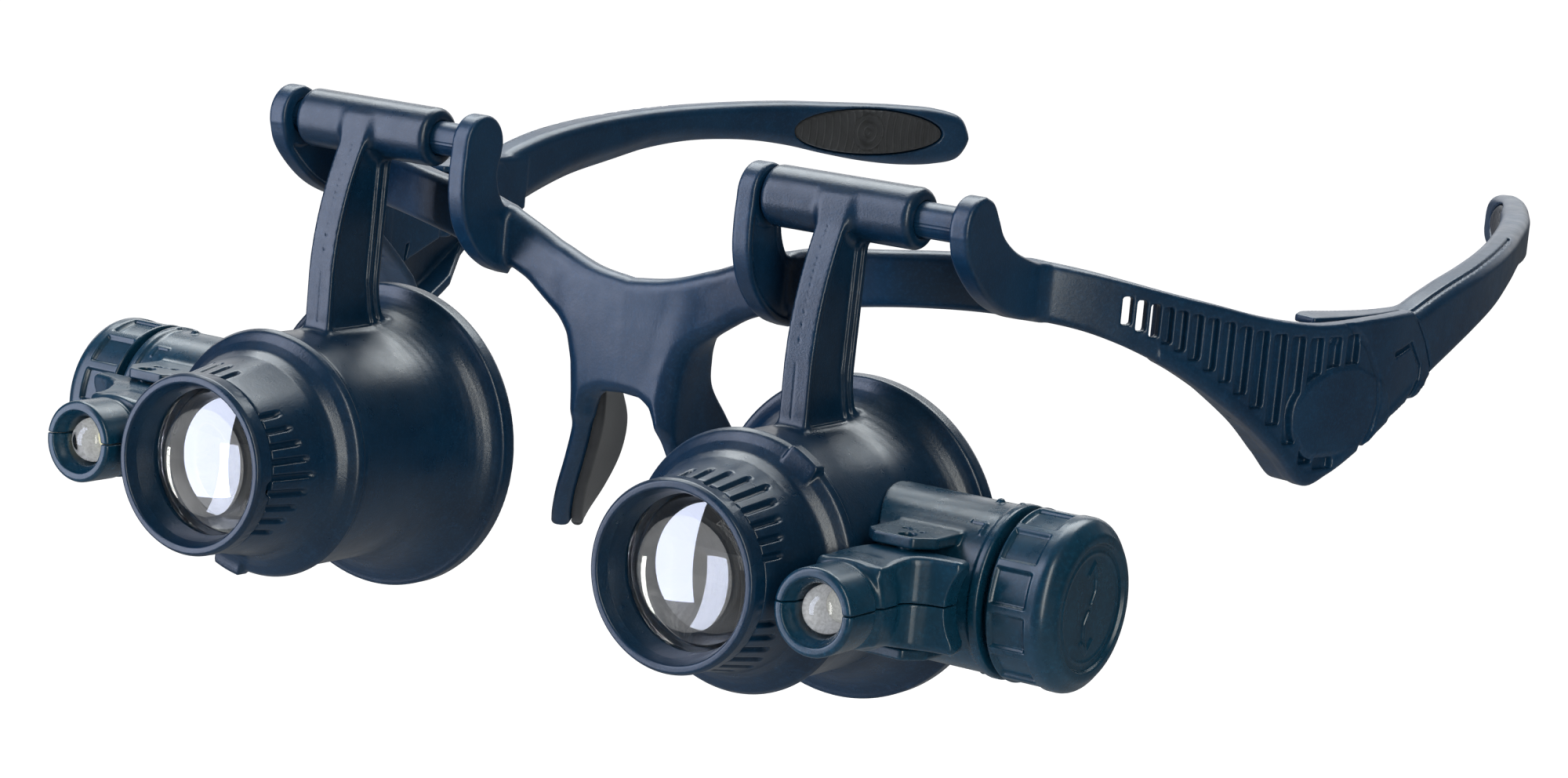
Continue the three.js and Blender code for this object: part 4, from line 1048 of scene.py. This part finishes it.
def pod_field(x, y, z):
    up = z - AXIS_Z
    radial = hypot(x - LAMP_X, up + LAMP_DROP)
    nose = rod(radial, y, LAMP_FRONT, -18.5, 4.55, 0.5)
    groove = hypot(radial - 4.75, y + 22) - 0.6
    nose = cut(nose, groove, 0.3)
    half = 4.05 + 0.75 * smooth(y, -20.5, -15.5)
    # the wing's tips reach farther out than its middle
    waist = 1.5 * np.clip(1 - (up / 4.2) ** 2, 0, 1) * smooth(x, 19, 25.5)
    body = rounded_pair(both(POD_PLAN(x, y), (x - 26 + waist) * 0.8), np.abs(up) - half, 0.7)
    made = join(nose, body, 1.1)
    keel = hypot((x - 17.4) * 0.7, (y + 18.2) * 0.8, up + 4.1) - 1.2
    made = join(made, keel, 0.9)
    stub = rod(hypot(x - POD_PIVOT[0], y - POD_PIVOT[1]), up, -5.9, 5.9, 0.9, 0.15)
    made = join(made, stub)
    mouth = radial - 2.8 - 0.7 * (1 - smooth(y, LAMP_FRONT, LAMP_FRONT + 1.6))
    made = cut(made, both(mouth, y + 19.5), 0.15)
    made = cut(made, rod(radial, y, -19.6, -17.9, 3.2, 0.1))
    return cut(made, brick(x, y, z, (17.2, -15, LAMP_Z), (2.2, 4, 1), 0.1))


def pod_half(sign):
    """One shell of the pod; the parting line is a fine gap with softened edges."""
    return lambda x, y, z: cut(pod_field(x, y, z), sign * (z - AXIS_Z) - 0.07, 0.08)


def in_pod(shape):
    return moved(shape, (LAMP_X, 0, LAMP_Z))


def lamp_shape():
    """LED of 5 mm with its flange."""
    radius, tip, flange, back = 2.5, -27, -19.3, -18.3
    dome = [(r, y + tip + radius, 0) for r, y in arc(radius, 270, 360, 14)[1:]]
    return in_pod(turned([(0, tip, 0), *dome, (radius, flange, 0), (2.9, flange, 0.1), (2.9, back, 0.1),
                          (0, back)], 64, longest=0.5))


def lamp_cup():
    """Reflector cup that the LED's chip sits in."""
    return in_pod(turned([(0.7, -22.7, 0.05), (1.5, -23.8, 0.05), (1.7, -23.8, 0.05), (1.5, -20.4, 0.1),
                          (0.02, -20.4, 0), (0.02, -22.7, 0)], 40, closed=True, longest=0.3))


def lamp_die():
    return in_pod(turned([(0, -23.5), (0.85, -23.4, 0.2), (0.75, -22.6, 0.05), (0, -22.6)], 32,
                         longest=0.2))


def lamp_leads_field(x, y, z):
    """Legs of the LED. Each is a post inside the resin and a tail behind it."""
    posts = [(1.27, -20.2, 2.1), (-1.27, -19.8, 1.7), (1.27, -16.6, 2), (-1.27, -16.6, 2)]
    return np.minimum.reduce([
        brick(x, y, z, (LAMP_X + across, middle, LAMP_Z), (0.25, half, 0.25), 0.06)
        for across, middle, half in posts])


# ---- interchangeable lens ------------------------------------------------------------------------

CELL_FRONT = -25.3
RING_BACK = -25.6
RING_FRONT = -27.9
LENS_RADIUS = 8.5
GROOVES = 9
GROOVE_PITCH = 10
GROOVE_GROUPS = (30, 150, 270)
LUG_RADIUS = 14.3
LUG_ANGLE = {"left": 30, "right": 165}
NOTCH_ANGLE = {"left": 14, "right": 264}


def degrees_between(turn, angle):
    return (np.degrees(turn) - angle + 180) % 360 - 180


def cell_relief(lug_angle):
    """Three groups of finger grooves and one bayonet lug round the lens cell."""
    def relief(r, h, turn):
        outer = smooth(r, 9.3, 9.6)
        drop = np.zeros(r.shape)
        for group in GROOVE_GROUPS:
            for i in range(GROOVES):
                step = i - (GROOVES - 1) / 2
                length = 5.2 - abs(step) * 0.75
                across = np.radians(degrees_between(turn, group + step * GROOVE_PITCH)) * r
                past = np.maximum(h - (CELL_FRONT + 0.1 + length), 0)
                drop = np.maximum(drop, 1 - smooth(hypot(across, past), 0.2, 0.42))
        drop = drop * (1 - smooth(h, -19.2, -18.8)) * outer
        near = 1 - smooth(np.abs(degrees_between(turn, lug_angle)), 7, 9.6)
        band = smooth(h, -16.3, -15.9) * (1 - smooth(h, -14.5, -14.3)) * smooth(r, 11.5, 12.2)
        lug = r + np.maximum(LUG_RADIUS - r, 0) * near * band
        return np.where(near * band > 0, lug, r - 0.5 * drop), h
    return relief


def cell_shape_for(side):
    sweep = [(13.87, -14.75, 0.25), (13.55, -15.45, 0.8), (12.55, -16.05, 1.2), (11.65, -16.9, 1.5),
             (11.1, -18.2, 2), (10.75, -20, 2)]
    profile = rounded_profile([
        (11.7, -9, 0.2), (11.7, -14.3, 0), (13.6, -14.3, 0.2), *sweep, (9.8, CELL_FRONT, 0.25),
        (8.65, CELL_FRONT, 0.1), (8.65, -20.1, 0.1), (7.5, -20.1, 0.1), (7.5, -19.5, 0.1), (9.5, -19.1, 0.5),
        (10.4, -9, 0.2)], steps=5, longest=0.3)
    return moved(revolve(profile, 540, shift=cell_relief(LUG_ANGLE[side])), (0, 0, AXIS_Z))


def ring_shape_for(side):
    """Retaining ring with one round notch in its rear edge, its rim slightly worn."""
    def notch(r, h, turn):
        across = np.radians(degrees_between(turn, NOTCH_ANGLE[side])) * r
        bite = np.sqrt(np.maximum(0.95 ** 2 - across ** 2, 0))
        rear = (h > -27.1) & (r > 8.9)
        worn = 0.03 * np.sin(turn * 37 + np.sin(turn * 11) * 2) * smooth(r, 9.2, 9.6)
        return r + worn * smooth(h, -27, -26), np.where(rear, np.minimum(h, RING_BACK - bite), h)
    profile = rounded_profile([
        (8.45, -24.2, 0.1), (8.45, RING_BACK, 0), (10, RING_BACK, 0.25), (10, -27.4, 0.4),
        (9.7, RING_FRONT, 0.3), (9.0, RING_FRONT, 0.25), (8.5, -26.6, 0.5), (8.05, -24.2, 0.1)],
        steps=5, longest=0.14)
    return moved(revolve(profile, 420, shift=notch), (0, 0, AXIS_Z))


def lens_shape():
    """Biconvex lens, each face a part of a sphere."""
    def face(vertex, edge):
        sag = abs(edge - vertex)
        radius = (LENS_RADIUS ** 2 + sag ** 2) / (2 * sag)
        toward = math.copysign(1, edge - vertex)
        return [(r, vertex + toward * (radius - math.sqrt(radius ** 2 - r ** 2)), 0)
                for r in np.linspace(0, LENS_RADIUS, 26)]
    return moved(turned(face(-24.6, -23.2) + face(-19, -20.8)[::-1], 160), (0, 0, AXIS_Z))


def pin_shape():
    """Pivot pin with a mould seam and a flat beside it."""
    def seam(r, h, turn):
        line = 1 - smooth(np.abs(degrees_between(turn, 100)), 1.5, 4)
        flat = 1 - smooth(np.abs(degrees_between(turn, 125)), 14, 20)
        return r - (0.06 * line + 0.05 * flat) * smooth(r, 1.5, 1.85), h
    return rod_shape(PIN_RADIUS, PIN_LOW[0], PIN_HIGH[0], 0.3, 144, 0.6, seam)


def hinge_rod():
    low, high = box_mm("hinge_pin_left")
    points, faces = rod_shape(HINGE_PIN_RADIUS, low[2], high[2], 0.2, 40, 0.5)
    return np.stack([points[:, 1] + HINGE[0], points[:, 2] + HINGE[1], points[:, 0]], -1), faces


# ---- assembly ------------------------------------------------------------------------------------

VOXEL = 0.23

make("front_shell", skin(frame_field, (-70, -5.5, -45), (70, 71, 5.5), VOXEL), "frame_plastic", "frame",
     "front_frame")
nose_pad = skin(nose_pad_field, (3, 3, -45), (15, 19, -20), VOXEL)
temple = skin(temple_field, (36, 44, -24), (69, 147, -2), VOXEL)
temple_pad = skin(temple_pad_field, (38, 118, -13), (56, 144, -3), VOXEL * 0.7)
body = skin(loupe_field, (-19, -15.5, -55), (19, 9.5, 4.5), VOXEL)
tube = skin(tube_field, (7, -17, -47), (33, 9, -25), VOXEL * 0.8)
pods = {half: skin(pod_half(sign), (10, -29, -44), (28, -11, -28), VOXEL * 0.7)
        for half, sign in (("upper", -1), ("lower", 1))}
cap = cap_shape()
spring = spring_shape()
cells = [cell_shape(number) for number in range(3)]
contact = in_tube(rod_shape(5.5, 17.1, 17.45, 0.08, 96, 0.7))
leads = skin(lamp_leads_field, (13, -24, -38), (20, -13, -34), 0.1)

for side, sign in SIDES.items():
    def placed(shape, offset=0.0):
        return moved(shape if sign > 0 else flipped(shape), (offset, 0, 0))

    def fitted(shape):
        return placed(shape, LOUPE_X[side])

    arm, loupe, lamp, optics = (f"{body_name}_{side}" for body_name in ("temple", "loupe", "lamp", "optics"))
    make(f"nose_rubber_{side}", placed(nose_pad), "grey_rubber", "frame", f"nose_pad_{side}")
    make(f"hinge_rod_{side}", placed(hinge_rod()), "steel", "frame", f"hinge_pin_{side}")
    make(f"pin_{side}_rod", placed(pin_shape()), "frame_plastic", f"pin_{side}", f"pivot_pin_{side}")
    make(f"temple_arm_{side}", placed(temple), "frame_plastic", arm, f"temple_{side}")
    make(f"temple_rubber_{side}", placed(temple_pad), "grey_rubber", arm, f"temple_pad_{side}")
    make(f"arm_and_eyecup_{side}", fitted(body), "loupe_plastic", loupe, f"loupe_body_{side}")
    make(f"battery_holder_{side}", fitted(tube), "holder_plastic", loupe, f"battery_tube_{side}")
    make(f"contact_plate_{side}", fitted(contact), "brass", loupe, f"contact_disc_{side}")
    for number, cell in enumerate(cells, 1):
        make(f"cell_{number}_{side}", fitted(cell), "cell_steel", loupe, f"button_cell_{number}_{side}")
    make(f"cap_{side}_cover", fitted(cap), "holder_plastic", f"cap_{side}", f"battery_cap_{side}")
    make(f"spring_{side}", fitted(spring), "steel", f"cap_carrier_{side}", f"contact_spring_{side}")
    for half, shape in pods.items():
        make(f"pod_{half}_{side}", fitted(shape), "holder_plastic", lamp, f"led_pod_{half}_{side}")
    make(f"led_dome_{side}", fitted(lamp_shape()), "led_resin", lamp, f"led_lamp_{side}")
    make(f"led_cup_{side}", fitted(lamp_cup()), "led_cup", lamp)
    make(f"led_die_{side}", fitted(lamp_die()), f"led_die_{side}", lamp)
    make(f"led_leads_{side}", fitted(leads), "steel", lamp)
    make(f"lens_mount_{side}", fitted(cell_shape_for(side)), "loupe_plastic", optics, f"lens_cell_{side}")
    make(f"lens_rim_{side}", fitted(ring_shape_for(side)), "loupe_plastic", optics, f"lens_ring_{side}")
    make(f"lens_glass_{side}", fitted(lens_shape()), "lens_glass", optics, f"lens_{side}")

# ---- stage, light and camera ---------------------------------------------------------------------

SEEN = 1.05  # brightness of the floor and the world where the camera sees them
FLOOR_GLOW = 0.12
WORLD_GLOW = 0.06
FLOOR_HALF = 30  # metres


def seen_strength(tree, dim):
    """Output that is SEEN for rays from the camera, straight or through glass, and dim for the rest."""
    path = tree.nodes.new("ShaderNodeLightPath")
    seen = tree.nodes.new("ShaderNodeMath")
    seen.operation = "MAXIMUM"
    tree.links.new(path.outputs["Is Camera Ray"], seen.inputs[0])
    tree.links.new(path.outputs["Is Transmission Ray"], seen.inputs[1])
    strength = tree.nodes.new("ShaderNodeMapRange")
    strength.inputs["To Min"].default_value = dim
    strength.inputs["To Max"].default_value = SEEN
    tree.links.new(seen.outputs[0], strength.inputs["Value"])
    return path, strength.outputs["Result"]


def add_floor():
    """Pale floor that glossy plastic reflects as if it were dark."""
    mesh = bpy.data.meshes.new("floor")
    corners = [(x * FLOOR_HALF, y * FLOOR_HALF, FLOOR_Z) for x, y in ((-1, -1), (1, -1), (1, 1), (-1, 1))]
    mesh.from_pydata(corners, [], [(0, 1, 2, 3)])
    floor = bpy.data.objects.new("floor", mesh)
    bpy.context.scene.collection.objects.link(floor)
    look = Look("floor")
    path, strength = seen_strength(look.tree, FLOOR_GLOW)
    pale = look.ramp(look.noise(60, 3), [(0.3, (0.80, 0.80, 0.81)), (0.7, (0.83, 0.83, 0.83))])
    colour = look.mix(path.outputs["Is Glossy Ray"], pale, (0.12, 0.12, 0.12))
    look.set(Base_Color=colour, Roughness=0.9, Emission_Strength=strength, Emission_Color=(1, 1, 1, 1))
    mesh.materials.append(look.material)


def add_light(name, place, aim, size, power, colour=(1, 1, 1)):
    light = bpy.data.lights.new(name, "AREA")
    light.shape = "RECTANGLE"
    light.size, light.size_y = size
    light.energy = power
    light.color = colour
    holder = bpy.data.objects.new(name, light)
    holder.location = place
    holder.rotation_euler = (Vector(aim) - Vector(place)).to_track_quat("-Z", "Y").to_euler()
    bpy.context.scene.collection.objects.link(holder)


def add_world():
    """White where the camera looks straight through, dim as a light."""
    world = bpy.data.worlds.new("studio")
    world.use_nodes = True
    _, strength = seen_strength(world.node_tree, WORLD_GLOW)
    background = world.node_tree.nodes["Background"]
    world.node_tree.links.new(strength, background.inputs["Strength"])
    background.inputs["Color"].default_value = (1, 1, 1, 1)
    bpy.context.scene.world = world


CAMERA_PLACE = np.array([248.48, -357.72, 50.44])
CAMERA_AZIMUTH, CAMERA_ELEVATION, CAMERA_ROLL = 32.14, 9.51, 5.32
CAMERA_LENS = 92.9


def add_camera():
    azimuth, elevation, roll = (math.radians(a) for a in (CAMERA_AZIMUTH, CAMERA_ELEVATION, CAMERA_ROLL))
    back = Vector((math.sin(azimuth) * math.cos(elevation), -math.cos(azimuth) * math.cos(elevation),
                   math.sin(elevation)))
    level = Vector((math.cos(azimuth), math.sin(azimuth), 0))
    upright = back.cross(level)
    right = level * math.cos(roll) + upright * math.sin(roll)
    up = upright * math.cos(roll) - level * math.sin(roll)
    lens = bpy.data.cameras.new("camera")
    lens.sensor_width = 36
    lens.lens = CAMERA_LENS
    lens.clip_start = 0.01
    lens.clip_end = 40
    camera = bpy.data.objects.new("camera", lens)
    place = Vector((CAMERA_PLACE + ORIGIN) * MM)
    camera.matrix_world = Matrix.Translation(place) @ Matrix((right, up, back)).transposed().to_4x4()
    bpy.context.scene.collection.objects.link(camera)
    bpy.context.scene.camera = camera


add_floor()
add_camera()
add_world()
add_light("overhead", (-0.25, 0.5, 0.85), (0, 0.02, -0.02), (1.1, 0.7), 17, (0.94, 0.99, 1.0))
add_light("front", (-0.66, -0.72, 0.12), (0, 0, -0.02), (0.5, 1.9), 17, (0.74, 0.8, 1.0))
add_light("side", (0.78, -0.7, 0.35), (0, 0.02, -0.03), (0.2, 1.3), 8.5, (1.0, 1.0, 0.94))
add_light("backdrop", (-0.75, 1.3, 0.4), (0, 0, 0), (2.4, 0.6), 6)
bpy.context.scene.view_settings.view_transform = "Standard"
